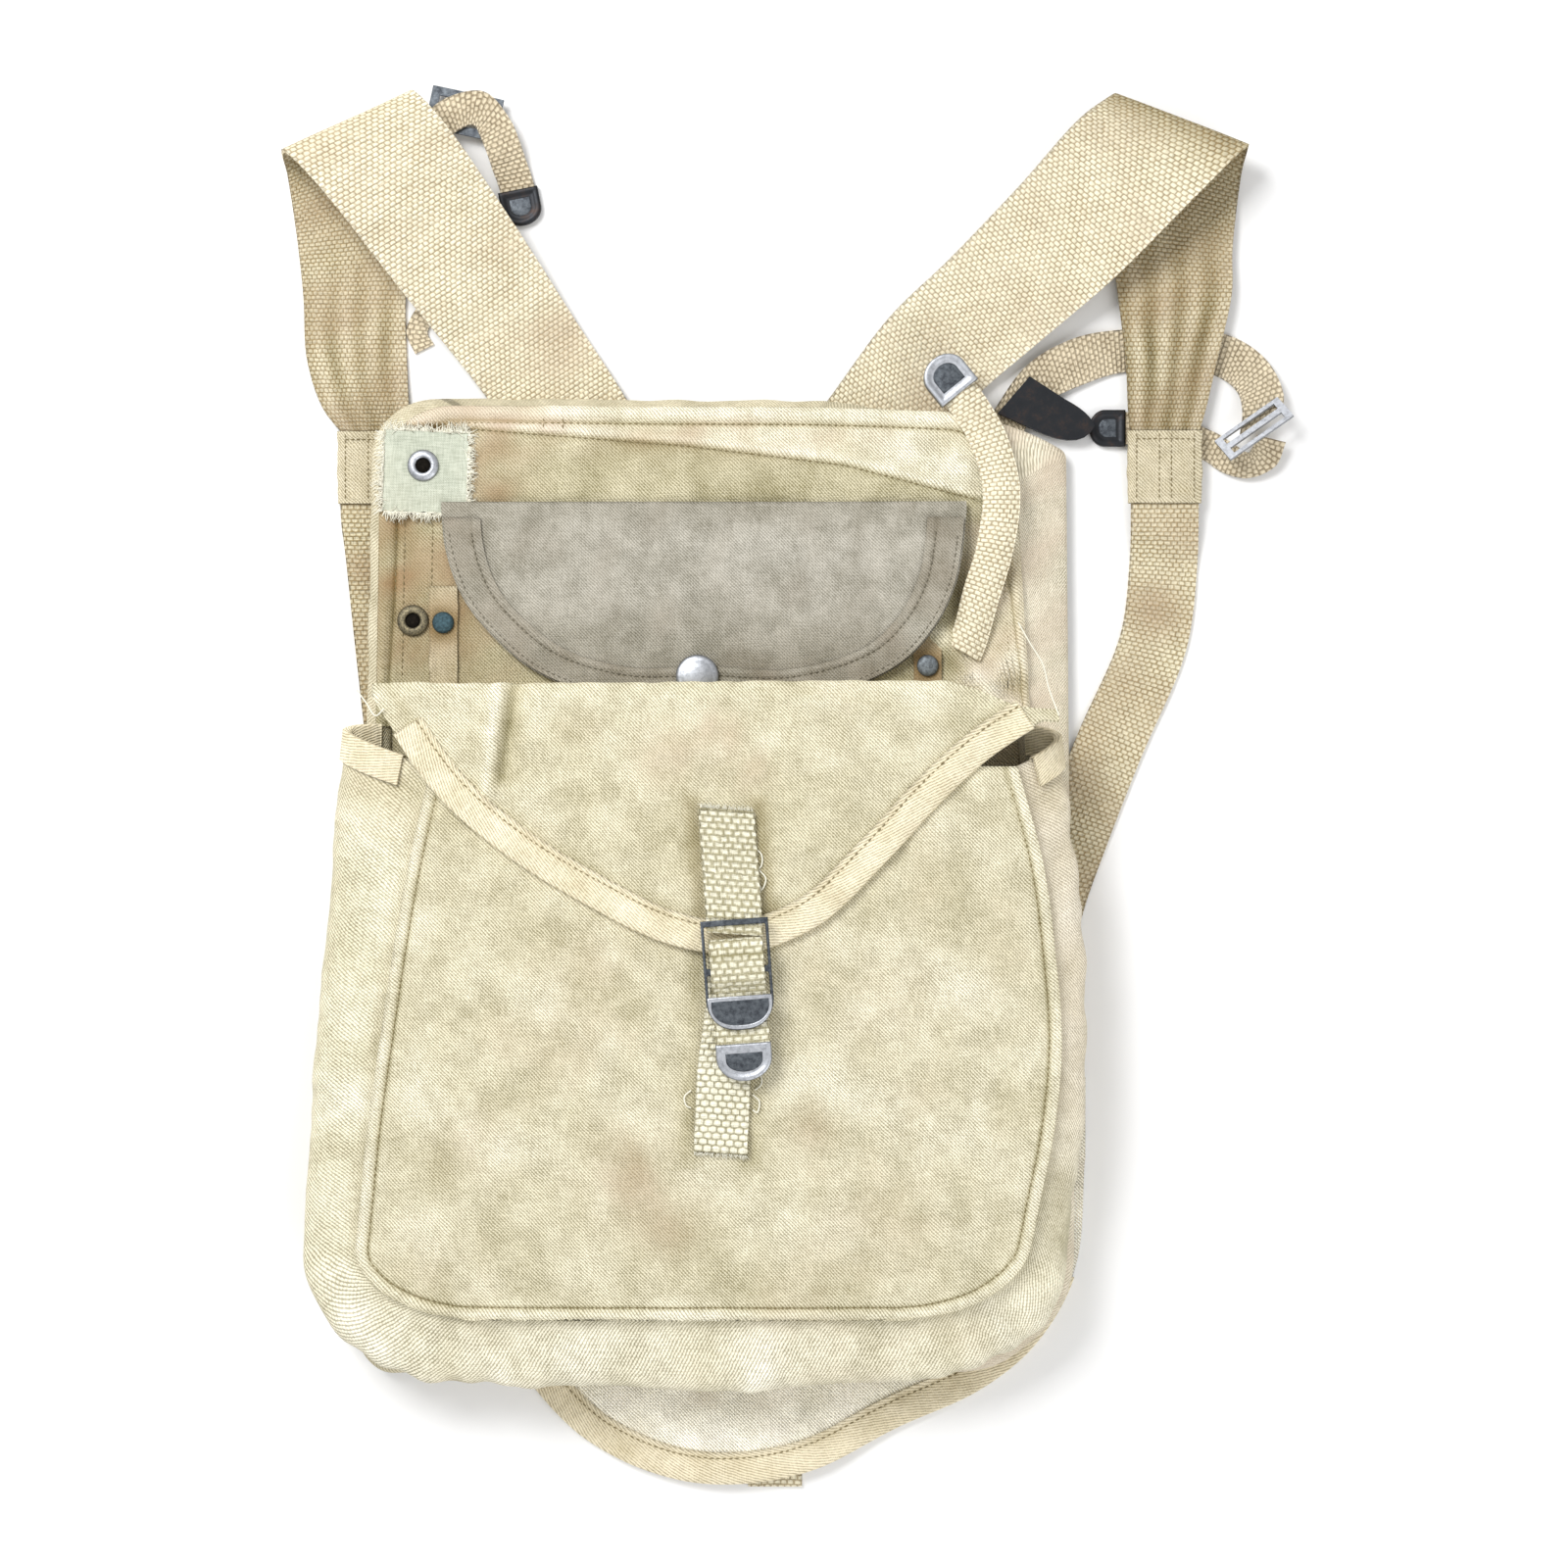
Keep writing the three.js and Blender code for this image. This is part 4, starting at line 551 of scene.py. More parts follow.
def frays(name, roots, aims, lengths, thick, material, droop=0.6):
    """Loose threads: each a thin three-sided tube of five rings from its root along its aim,
    bending to the side by a random amount and towards the cloth by its droop."""
    rng = np.random.default_rng(len(roots))
    t = np.linspace(0, 1, 5)
    aims = unit(aims)
    side = unit(np.cross(aims, [0, 0, 1.0]))
    bend = rng.normal(0, 0.45, len(roots))[:, None, None]
    long = lengths[:, None, None]
    s = t[None, :, None]
    line = (roots[:, None] + aims[:, None] * s * long + side[:, None] * bend * s**2 * long
            + np.array([0, 0, 1.0]) * long * (0.25 * s - droop * 0.5 * s**2))
    around = np.linspace(0, 2 * np.pi, 4)[:-1]
    r = (thick / 2 * (1 - 0.45 * t))[None, :, None, None]
    c, w = np.cos(around)[None, None, :, None], np.sin(around)[None, None, :, None]
    verts = line[:, :, None] + side[:, None, None] * r * c + np.array([0, 0, 1.0]) * r * w
    base = np.arange(len(roots))[:, None] * 15
    quads = (grid_faces(5, 3, True)[None] + base[..., None]).reshape(-1, 4)
    caps = (np.array([[2, 1, 0], [12, 13, 14]])[None] + base[..., None]).reshape(-1, 3)
    verts = verts.reshape(-1, 3)
    verts[:, 2] = np.maximum(verts[:, 2], 0.25)
    fields = {"tone": np.repeat(rng.uniform(-0.1, 0.12, len(roots)), 15), "soil": 0.0}
    return put_mesh(name, verts, [quads[:, ::-1], caps[:, ::-1]], np.zeros((len(verts), 2)), fields,
                    material, [])


rng = np.random.default_rng(4)
count = 760
t = rng.uniform(-1, 1, count)
edge = rng.integers(0, 4, count)
one = np.ones(count)
u = np.select([edge == 0, edge == 1], [one, -one], t)
v = np.select([edge == 2, edge == 3], [one, -one], t)
x, y = patch_x + u * 19.4 + 0.6 * v, patch_y + v * 18.8 - 0.9 * u
roots = np.stack([x, y, face_top(x, y) + 1.5], -1)
aims = np.stack([u * (edge < 2) + rng.normal(0, 0.5, count),
                 v * (edge > 1) + rng.normal(0, 0.5, count), rng.uniform(0, 0.5, count)], -1)
pale = fabric("pale_fray", (1.0, 0.98, 0.88), (0.82, 0.80, 0.68), (0.6, 0.52, 0.38), "rib",
              (0.5, 0.5), 0.05, mottle=0.1)
frays("patch_fray", roots, aims, rng.uniform(1.4, 5.4, count), 0.62, pale, 0.9)


# Eyelets, studs and snap: turned brass and steel, tarnished, one blue with corrosion. The
# eyelets sit on patch and face, a painted-shade disc in each bore; studs stand on the fly strips.
def metal(name, bright, worn, rough, wear, grain=420.0):
    """Old metal: bright where rubbed and worn where tarnished, split by two noises added, and
    with a painted reflection: darker where its face turns away from the eye."""
    mat, inputs, feed, node, calc, blend, noise, shaped, bump = shader_kit(name)
    place = node("ShaderNodeTexCoord").outputs["Object"]
    fine, coarse = (noise(place, size, detail=6.0, rough=0.65) for size in (grain * 6, grain))
    both = calc("MULTIPLY_ADD", fine, 0.4, coarse)
    tint = blend(shaped(both, wear - 0.25, wear + 0.3), bright, worn)
    # Painted reflection: the colour blends to a dark copy where the face turns from the eye.
    slant = node("ShaderNodeLayerWeight")
    feed(slant.inputs["Blend"], 0.45)
    painted_reflection_dark = tuple(0.12 * c for c in bright)
    feed(inputs["Base Color"], blend(slant.outputs["Facing"], tint, painted_reflection_dark))
    matte = node("ShaderNodeMapRange")
    for k, value in ((0, both), (3, rough), (4, min(1, rough + 0.35))):
        feed(matte.inputs[k], value)
    feed(inputs["Roughness"], matte.outputs[0])
    feed(inputs["Metallic"], 0.85)
    bump(both, 0.5, 0.2)
    return mat


def turned(name, profile, x, y, seat, material, node):
    """Turned piece: pairs of radius and height spun round an upright line in 48 steps. Rings
    of no radius become one point."""
    angle = np.linspace(0, 2 * np.pi, 49)[:-1]
    profile = np.array(profile, float)
    closed = profile[0, 0] > 0
    rings = profile if closed else profile[1:-1]
    verts = np.stack([x + rings[:, :1] * np.cos(angle), y + rings[:, :1] * np.sin(angle),
                      seat + rings[:, 1:] + 0 * angle], -1).reshape(-1, 3)
    faces = [grid_faces(len(rings), 48, True)]
    if closed:
        faces[0] = faces[0] % ((len(rings) - 1) * 48)
        verts = verts[:(len(rings) - 1) * 48]
    else:
        count = len(verts)
        verts = np.r_[verts, [[x, y, seat + profile[0, 1]], [x, y, seat + profile[-1, 1]]]]
        a, b = np.arange(48), np.roll(np.arange(48), -1)
        faces.append(np.stack([b, a, a * 0 + count], -1))
        faces.append(np.stack([a, b, a * 0 + count + 1], -1) + [count - 48, count - 48, 0])
    return put_mesh(name, verts, faces, verts[:, :2] / 1000, {}, material, [node])


# Near-black bore finish: painted shade for the dark inside of the eyelets' holes.
shadow = metal("eyelet_bore_painted_shade", (0.035, 0.028, 0.02), (0.012, 0.01, 0.008), 0.7, 0.6)
brass = metal("dull_brass", (0.42, 0.36, 0.22), (0.09, 0.08, 0.06), 0.35, 0.62, 1300.0)
pewter = metal("worn_zinc", (0.56, 0.58, 0.62), (0.20, 0.21, 0.23), 0.2, 0.80, 500.0)
verdigris = metal("corroded_stud", (0.12, 0.21, 0.25), (0.05, 0.08, 0.09), 0.6, 0.7, 900.0)
greyed = metal("grey_stud", (0.34, 0.38, 0.41), (0.10, 0.11, 0.12), 0.45, 0.7, 700.0)
for name, x, y, base, finish in (("grommet_upper", -136.5, 423.0, 1.3, pewter),
                                 ("grommet_lower", -141.5, 351.0, 0, brass)):
    foot = -canvas_thick - base
    profile = [(3.4, foot), (4.3, foot), (4.3, 0), (7.1, 0), (7.3, 0.35), (7.1, 0.8), (6.4, 1.25),
               (5.4, 1.7), (4.4, 1.8), (3.7, 1.5), (3.4, 0.9), (3.4, foot)]
    seat = face_top(x, y) + base + 0.55
    turned(name + "_ring", profile, x, y, seat, finish, name)
    # A near-black disc in the bore: painted shade.
    turned(name + "_well", [(0, 0), (3.6, 0), (3.6, 0.35), (0, 0.35)], x, y, seat + 0.15, shadow,
           name)

# Fly strips at the mouth's ends: narrow folded strips of duck with raised edges, a stud each.
for side, x0, y0, long, up, paint in (("left", -127.3, 340, 54, 10, verdigris),
                                      ("right", 98, 328, 34, 2, greyed)):
    u, v = np.meshgrid(np.linspace(-1, 1, 16), np.linspace(-1, 1, 60))
    x = x0 + u * (6.4 + 0.25 * waves(v * long / 2, u, 9, 12))
    y = y0 + v * long / 2
    z = face_top(x, y) + 0.95 + 0.25 * bell((np.abs(u) - 0.8) / 0.15) + 0.2 * waves(x, y, 10, 13)
    strip = cloth("fly_" + side, np.stack([x, y, z], -1), 0.95, plan_map(x, y), duck,
                  ["fly_strip_" + side], tone=-0.14 + 0.05 * waves(x, y, 14, 14)
                  - 0.5 * bell(np.hypot(x - x0, y - y0 - up) / 8),
                  soil=0.35 + 0.5 * bell((y - y0 - up) / 12))
    seat = face_top(x0, y0 + up) + 1.75
    profile = [(0, 0), (4.6, 0), (5.0, 0.3), (5.0, 0.8), (4.5, 1.5), (3.6, 2.0), (2, 2.3), (0, 2.4)]
    turned("stud_cap_" + side, profile, x0, y0 + up, seat, paint, "stud_" + side)


# Inner flap: a half-round sheet of darker, dirtier duck hung from the yoke over the mouth, with
# a wide facing sewn round its edge. Its right edge stands off the bag.
def curve(points, t):
    """Centripetal Catmull-Rom curve through the points, read at t from 0 to 1."""
    p = np.asarray(points, float)
    ends = np.concatenate([[2 * p[0] - p[1]], p, [2 * p[-1] - p[-2]]])
    step = np.maximum(np.sqrt(np.linalg.norm(np.diff(ends, axis=0), axis=1)), 1e-3)
    s = np.clip(t, 0, 1) * (len(p) - 1)
    k = np.minimum(s.astype(int), len(p) - 2)
    w = (s - k)[..., None]
    x0, x1, x2, x3 = (ends[k + i] for i in range(4))
    d0, d1, d2 = (step[k + i][..., None] for i in range(3))
    a = ((x1 - x0) / d0 - (x2 - x0) / (d0 + d1) + (x2 - x1) / d1) * d1
    b = ((x2 - x1) / d1 - (x3 - x1) / (d1 + d2) + (x3 - x2) / d2) * d1
    return x1 + a * w + (3 * (x2 - x1) - 2 * a - b) * w**2 + (2 * (x1 - x2) + a + b) * w**3


def even(points, t):
    """The same curve read at t as a share of its length."""
    line = curve(points, np.linspace(0, 1, 700))
    far = run_length(line)
    return np.stack([np.interp(t * far[-1], far, line[:, k]) for k in range(line.shape[1])], -1)


def column(xs, ys, x):
    """One column of a table read against another along a smooth curve."""
    line = curve(np.c_[xs, ys], np.linspace(0, 1, 97))
    return np.interp(x, line[:, 0], line[:, 1])


inner_edge = np.array([(-1, .04), (-.985, .23), (-.92, .47), (-.8, .67), (-.64, .84), (-.34, .98),
                       (0, 1), (.4, .98), (.74, .81), (.88, .62), (.955, .42), (.985, .23),
                       (1, .04)])
inner_x, inner_half, inner_top, inner_drop = -6, 122, 406, 94
inner_rim = np.c_[inner_x + inner_edge[:, 0] * inner_half,
                  inner_top - inner_edge[:, 1] * inner_drop]


def inner_level(x, y):
    """Middle of the inner flap: over the face, lifted towards the right, with soft creases."""
    across = (x - inner_x) / inner_half
    down = np.clip((inner_top - y) / inner_drop, 0, 1)
    lift = 6 * ease((across - 0.4) / 0.6) * np.sin(np.pi * down**0.8)
    swell = 2 * np.maximum(0, 1 - across**2) * np.sin(np.pi * down)
    crease = ridges(x, y, (((55, 392), (18, 345), 3, 0.5), ((-20, 380), (40, 388), 4, 0.4)))
    worn = 0.4 * waves(x, y, 30, 16) * ease(down * 5) + crease
    return face_top(x, y) + 2.6 + lift + swell + worn


u, v = np.meshgrid(np.linspace(0, 1, 120), np.linspace(0, 1, 66))
rim = even(inner_rim, u)
x, y = rim[..., 0], mix(inner_top, rim[..., 1], v)
down = (inner_top - y) / inner_drop
umber = fabric("soiled_inner_duck", (0.56, 0.53, 0.455), (0.19, 0.175, 0.13), (0.30, 0.25, 0.19),
               "twill", (1.6, 1.6), 0.3, streak=0.32, mottle=0.4)
arch = bell((down - 0.78 + 0.22 * bell((x + 4) / 70)) / 0.09)
shade = (0.10 * bell((x - 20) / 60) * bell((down - 0.3) / 0.3) - 0.27 * ease((down - 0.55) / 0.45)
         - 0.10 * bell(down / 0.12) - 0.07 * arch - 0.08 * ease((-x - 60) / 60)
         - 0.10 * ease((x - 70) / 50) * ease((down - 0.2) / 0.6))
inner = cloth("inner_sheet", np.stack([x, y, inner_level(x, y)], -1), 1.3, plan_map(x, y), umber,
              ["inner_flap"], tone=shade + 0.04 * waves(x, y, 22, 17),
              soil=np.clip(0.35 * ease((down - 0.7) / 0.25) + 0.15 * waves(x, y, 26, 61), 0, 1))
heart_y = inner_top - 0.3 * inner_drop


def inner_inset(rim, reach):
    """Points moved in from the inner flap's rim by a reach, aimed at the middle of its upper
    part from below it, and level with the ground beside it."""
    away = np.stack([inner_x - rim[..., 0], np.maximum(0, heart_y - rim[..., 1])], -1)
    return rim + unit(away) * reach


reach = mix(1, 18, v)
place = inner_inset(even(inner_rim, mix(0.01, 0.99, u)), reach[..., None])
x, y = place[..., 0], place[..., 1]
lump = 0.35 * bell((reach - 15.5) / 1.2) + 0.35 * bell((reach - 2) / 1.4) + 0.2 * waves(x, y, 8, 18)
# Its tone has painted shade in the groove along the inner stitch row.
facing = cloth("inner_facing", np.stack([x, y, inner_level(x, y) + 1.6 + lump * 0.8], -1), 0.8,
               plan_map(x, y), umber, ["inner_flap_facing"],
               tone=-0.10 + 0.05 * waves(x, y, 16, 19) - 0.14 * bell((reach - 13.4) / 1.1),
               soil=0.25 + 0.2 * waves(x, y, 30, 20))
rim = even(inner_rim, np.linspace(0.03, 0.97, 200))
runs = []
for reach in (13.6, 3.2):
    place = inner_inset(rim, reach)
    runs.append(np.c_[place, inner_level(place[:, 0], place[:, 1]) + 2.35])
dull = fabric("dull_thread", (0.26, 0.24, 0.18), (0.14, 0.125, 0.09), (0.3, 0.25, 0.2), "rib",
              (0.5, 0.5), 0.05, mottle=0.1)
stitches("inner_stitching", runs, dull, 2.8, 1.9, 0.5)
snap_x, snap_y = -9.0, 325.0
profile = [(0, 0), (9.6, 0), (10, 0.5), (9.9, 1.2), (9.2, 1.9), (8.4, 2.3), (7.6, 2.35),
           (7.0, 2.6), (5.4, 3.2), (3, 3.5), (0, 3.6)]
turned("snap_cap", profile, snap_x, snap_y, inner_level(snap_x, snap_y) + 2.6, pewter,
       "flap_snap")

# Pouch, front panel: one piece of duck with round lower corners, topstitched all round 5 mm in
# from the seam, which stands up as a ridge. Low pillow, flatter towards its mouth; old pale
# stains, and slubs that show as darker threads.
downs = (0, .18, .34, .5, .66, .8, .9, 1)
left_shares = (-.82, -.885, -.93, -.968, -1.004, -1.026, -1.042, -1.045)
right_shares = (.87, .945, .98, .998, .975, .93, .9, .88)
mouth_y, seam_level, topstitch = 283.0, 48.8, 5.4
panel_half, panel_long = 158, 252
panel_creases = (((-128, 60), (-90, 120), 7, 0.9), ((120, 30), (96, 96), 6, 1.0),
                 ((-60, 34), (90, 40), 5, 0.6), ((128, 90), (108, 190), 8, 0.8),
                 ((-110, 40), (-70, 46), 5, -0.7))


def seam_point(j, over):
    """Place in plan on the front panel at row j (0 to 7 down the sides, to 11 round the
    corners) and at a share over from its left side to its right."""
    turn = np.maximum(0, j - 7) / 4 * np.pi / 2
    low = 34 / panel_long
    down = (1 - low) * np.minimum(1, j / 7) + low * np.sin(turn)
    inset = 58 * (1 - np.cos(turn))
    left = column(downs, left_shares, down) * panel_half + inset
    right = column(downs, right_shares, down) * panel_half - inset
    return mix(left, right, over), mouth_y - down * panel_long


def panel_level(x, y):
    """Middle of the front panel: a low pillow, without its finer relief."""
    down = (mouth_y - y) / panel_long
    over = 1 - (x / panel_half) ** 2
    along = 0.35 + 0.65 * np.sin(np.pi * np.clip(0.12 + 0.88 * down, 0, 1))
    return seam_level + 0.7 + 7 * over * along


def seam_at(s):
    """Seam outline at s: 0 to 11 down the left, to 18 along the bottom, to 29 up the right."""
    j = np.clip(np.minimum(s, 29 - s), 0, 11)
    return seam_point(j, np.clip((s - 11) / 7, 0, 1))


seam_s = np.linspace(0, 29, 420)
seam = np.stack(seam_at(seam_s), -1)
u, v = np.meshgrid(np.linspace(0, 1, 170), np.linspace(0, 1, 150))
x, y = seam_point(v * 11, u)
gap = np.full(x.shape, 1e9)
for part in np.array_split(seam, 12):
    gap = np.minimum(gap, np.hypot(x[..., None] - part[:, 0], y[..., None] - part[:, 1]).min(-1))


def panel_relief(x, y, gap):
    """Relief of the front panel: seam ridge, stitch groove, puckers at them, and soft creases."""
    near = bell((gap - 3) / 4)
    rumple = 0.5 * waves(x, y, 60, 21) + 0.22 * waves(x, y, 17, 22) * (1 + near)
    ridge = bell((gap - 2.2) / 2.0) - 0.75 * bell((gap - topstitch) / 1.0)
    return ridge + rumple + ridges(x, y, panel_creases)


z = panel_level(x, y) + panel_relief(x, y, gap)
strap_side = bell((np.abs(x - 2 - 0.05 * (y - 108)) - 14) / 5)
strap_side = strap_side * ease((y - 96) / 8) * ease((222 - y) / 6)
# Tone: soft blotches, painted light and shade following the relief, painted shade in the topstitch
# groove, a lighter line on the seam ridge, darker beside the strap.
tone = (0.08 * waves(x, y, 55, 23) + 0.06 * panel_relief(x, y, 99.0)
        + 0.05 * waves(x, y, 24, 61) + 0.07 * bell((x - 75) / 45) * bell((y - 150) / 60)
        - 0.05 * bell((y - 45) / 22) - 0.18 * strap_side - 0.42 * bell((gap - topstitch) / 0.95)
        + 0.14 * bell((gap - 2.2) / 1.8) - 0.10 * ease((y - 190) / 30) * bell(x / 90))
stains = spots(x, y, ((-38, 96, 20, .45), (-20, 74, 14, .4), (44, 118, 12, .3),
                      (-95, 160, 10, .3), (-110, 110, 16, .2), (80, 175, 26, .12),
                      (-60, 190, 18, .2)))
stains = np.clip(stains * (0.8 + 0.4 * waves(x, y, 26, 24)), 0, 1)
cloth("front_panel", np.stack([x, y, z], -1), 1.3, plan_map(x, y), duck,
      ["pouch_front_panel"], tone=tone, soil=stains)
line = inset_loop(seam, topstitch)[3:-3]
run = np.c_[line, panel_level(*line.T) + panel_relief(*line.T, topstitch) + 0.95]
stitches("panel_stitching", [run], thread)

# Pouch, gusset: a strip of duck round three sides of the front panel, full enough to swell out
# past the seam on the left and along the bottom, crumpled where it folds on the right.
swells = column((0, .25, .38, .5, .62, .75, 1), (1.2, 1.1, .85, 1, .8, .55, .75), seam_s / 29)
gusset_wide = 62
gusset_folds = (((228, 4), (300, 56), 7, 2.6), ((250, 2), (268, 58), 5, -1.8),
                ((284, 2), (322, 50), 6, 2.0), ((430, 6), (396, 52), 7, 1.6),
                ((560, 4), (520, 58), 9, 1.6), ((592, 2), (578, 56), 6, -1.4),
                ((640, 2), (610, 54), 8, 1.3), ((120, 8), (170, 50), 9, 1.2),
                ((700, 4), (660, 56), 9, 1.2), ((760, 2), (720, 50), 8, -1.2))


def gusset(s, t):
    """Middle of the gusset at s along the seam and t from the seam to its foot on the face:
    a blend of the two, pushed outwards by a raised sine."""
    sx, sy = seam_at(s)
    down = np.clip((mouth_y - sy) / panel_long, 0, 1)
    up = sy / bag_height
    left = mix(-163, -156.5, up) + 6
    right = mix(163, 137.5, up) - 6
    ends = [column(downs, shares, down) * panel_half for shares in (left_shares, right_shares)]
    fx = mix(left, right, (sx - ends[0]) / (ends[1] - ends[0]))
    fy = mix(302, 10, down)
    ahead, behind = seam_at(np.minimum(s + 1, 29)), seam_at(np.maximum(s - 1, 0))
    ox, oy = behind[1] - ahead[1], ahead[0] - behind[0]
    size = np.hypot(ox, oy) * np.sign(ox * sx + oy * (sy - 182.2))
    swell = 26 * np.interp(s, seam_s, swells) * np.sin(np.pi * t**0.85) ** 2 - 0.7
    x = mix(sx, fx, ease(t)) + ox / size * swell
    y = mix(sy, fy, ease(t)) + oy / size * swell
    top = panel_level(sx, sy) - 1.1
    return np.stack([x, y, mix(top, face_top(fx, fy) + 0.3, t)], -1)


u, v = np.meshgrid(np.linspace(0, 29, 430), np.linspace(0, 1, 52))
mid = gusset(u, v)
n = normals_of(mid)
along = np.interp(u / 29 * (len(seam) - 1), np.arange(len(seam)), run_length(seam))
body = np.sin(np.pi * v) ** 0.8
right = ease((u - 22) / 3)
corner = bell((u - 9.5) / 1.6) + bell((u - 19.5) / 1.6)
tucks = (waves(along, v * 46, 44, 25) * 0.9 + waves(along, v * 46, 14, 26) * 0.3
         + bell((v - 0.12) / 0.1) * waves(along, v * 0, 9, 27) * 0.6
         + right * 1.1 * waves(along, v * 46, 26, 28)
         + corner * 0.9 * np.sin(along * 0.42 + v * 3)
         + ridges(along, v * gusset_wide, gusset_folds))
# The relief goes outwards, whichever way the grid's normals point.
sign = np.sign((n[26, 60] * (mid[26, 60] - np.array([0, 150, 30]))).sum())
mid = mid + n * sign * (tucks * body)[..., None]
uv = np.stack([along, v * gusset_wide], -1) / 1000
tone = 0.05 + 0.12 * bell((u - 14.5) / 6) + 0.20 * right + 0.09 * waves(along, v * 60, 40, 29)
tone = tone - 0.34 * bell((along - 37 - 3 * v) / 0.8) * (u < 8) * ease((v - 0.1) / 0.05)
# Painted light and shade following the tucks.
tone = tone + 0.055 * tucks * body - 0.1 * bell((v - 0.04) / 0.05)
pinkish = 0.6 * bell((u - 10.4) / 1.5) * ease((v - 0.4) / 0.3) + right * 0.35
cloth("side_wall", mid, 1.3, uv, duck, ["pouch_gusset"], tone=tone,
      soil=np.clip(pinkish, 0, 1))


# Mouth bindings: folded tape over the gusset's two ends.
def tape_path(flat, width, stand):
    """Across a folded tape: how far in from the cloth's edge and how far off its middle, from
    under the cloth, round its edge and in over it again."""
    turn = np.linspace(-np.pi / 2, np.pi / 2, 9)
    reach = np.r_[flat * width, -0.3 - 0.45 * np.cos(turn), flat[::-1] * width]
    return reach, np.r_[-stand + 0 * flat, stand * np.sin(turn), stand + 0 * flat]


def tape_map(edge, reach, off):
    """Cut map of a folded tape, by its lengths across and along."""
    across, along = run_length(np.c_[reach, off]), run_length(edge)
    return np.stack(np.broadcast_arrays(across[None], along[:, None]), -1) / 1000


def binding(name, edge, inner, up, node):
    """Folded tape over a cloth's edge, from the edge, the way in and the way up at each row."""
    width = 13
    reach, off = tape_path(np.array([1.0, 0.85, 0.6, 0.3, 0.12]), width, 1.75)
    mid = edge[:, None] + inner[:, None] * reach[None, :, None] + up[:, None] * off[None, :, None]
    thin = np.clip((reach / width - 0.8) / 0.2, 0, 1) * (off > 0)
    wear = (0.04 * waves(run_length(edge)[:, None], reach[None], 18, 31)
            + 0.10 * (np.abs(off) < 1.0) - 0.05 * thin)
    cloth(name, mid, 0.8, tape_map(edge, reach, off), tape_cloth, [node], tone=wear)


tape_cloth = fabric("binding_tape", (0.98, 0.89, 0.66), (0.46, 0.39, 0.24), (0.42, 0.30, 0.2),
                    "rib", (1.3, 1.3), 0.3, streak=0.4)
v = np.linspace(1 / 6, 5 / 6, 60)
for side, end, near in (("left", 0.0, 1.0), ("right", 29.0, 28.0)):
    a, b = gusset(np.full(60, end), v), gusset(np.full(60, near), v)
    inward = unit(b - a)
    up = unit(np.cross(inward, np.gradient(a, axis=0)))
    binding("mouth_tape_" + side, a, inward, up, "mouth_binding_" + side)

# Pouch flap: duck sewn to the face behind the pouch, up and over its mouth and down to a round
# edge. A dent at its left, its right corner curled up; pale, with darker halos round the tab.
flap_across = (-1, -.94, -.8, -.6, -.37, -.14, .07, .29, .485, .66, .8, 1)
flap_drops = (.05, .17, .42, .64, .82, .96, 1, .9, .67, .43, .27, .1)
flap_half, flap_fold, flap_drop, hinge = 156, 321, 122, 0.3
flap_folds = (((96, 236), (150, 300), 7, 4.6), ((88, 246), (140, 306), 6, -2.8),
              ((-98, 322), (-103, 268), 4, 4.2), ((-91, 322), (-97, 276), 5, -3.0),
              ((-78, 318), (-88, 290), 4, 0.8), ((40, 318), (96, 306), 5, 0.9),
              ((60, 300), (110, 270), 6, 0.8))
# Painted shade in the valleys and highlights on the ridges of the dent and the curled corner.
flap_shades = (((-92, 322), (-99, 274), 2.8, -0.30), ((-99, 324), (-105, 268), 3, 0.10),
               ((84, 240), (138, 303), 4, -0.16), ((98, 236), (150, 298), 5, 0.09),
               ((36, 318), (92, 308), 3, -0.09))
buckle_lean = 0.074


def line_at(y):
    """Middle of the line of tab, buckle and strap at a height in plan."""
    return 5 + (263 - y) * buckle_lean


def fold_line(x):
    """Height in plan of the flap's fold: level, and lower at the right."""
    worn = 0.9 * waves(x, x * 0, 55, 51) + 0.35 * waves(x, x * 0, 17, 52)
    return flap_fold - 12 * ease((x / flap_half - 0.66) / 0.28) + worn


def flap_relief(x, y):
    """Relief of the flap: creases from its left fold, a rolled right corner, soft rumples."""
    rumple = 0.55 * waves(x, y, 45, 32) + 0.2 * waves(x, y, 15, 33)
    return ridges(x, y, flap_folds) + rumple


def flap_level(x, y):
    """Middle of the flap over the front panel, lifted towards its corners, with its relief."""
    lift = 3.15 + 4 * ease((np.abs(x / flap_half) - 0.6) / 0.4)
    return panel_level(x, y) + lift + flap_relief(x, y)


def flap_edge(over):
    """Height in plan of the flap's lower edge at a share over from -1 to 1."""
    low = flap_fold - column(flap_across, flap_drops, over) * flap_drop
    return np.minimum(fold_line(over * flap_half) - 5, low)


u, v = np.meshgrid(np.linspace(-1, 1, 180), np.linspace(0, 1, 120))
x = u * flap_half
fold_y = fold_line(x)
crest = flap_level(x, fold_y) - 2.5
t = np.clip(v / hinge, 0, 1)
hinge_x, hinge_y = u * 127.5, 308
wall = [mix(hinge_x, x, t), mix(hinge_y, fold_y, np.sin(t * np.pi / 2) ** 1.4),
        mix(face_top(hinge_x, hinge_y) + 0.3, crest, t)]
edge_y = flap_edge(u)
y = mix(fold_y, edge_y, np.clip((v - hinge) / (1 - hinge), 0, 1))
drape = [x, y, mix(crest, flap_level(x, y), ease((fold_y - y) / 6))]
mid = np.stack([np.where(v <= hinge, a, b) for a, b in zip(wall, drape)], -1)
x, y = mid[..., 0], mid[..., 1]
halo = bell((np.abs(x - line_at(y)) - 15) / 4.5) * ease((y - 205) / 6) * ease((272 - y) / 6)
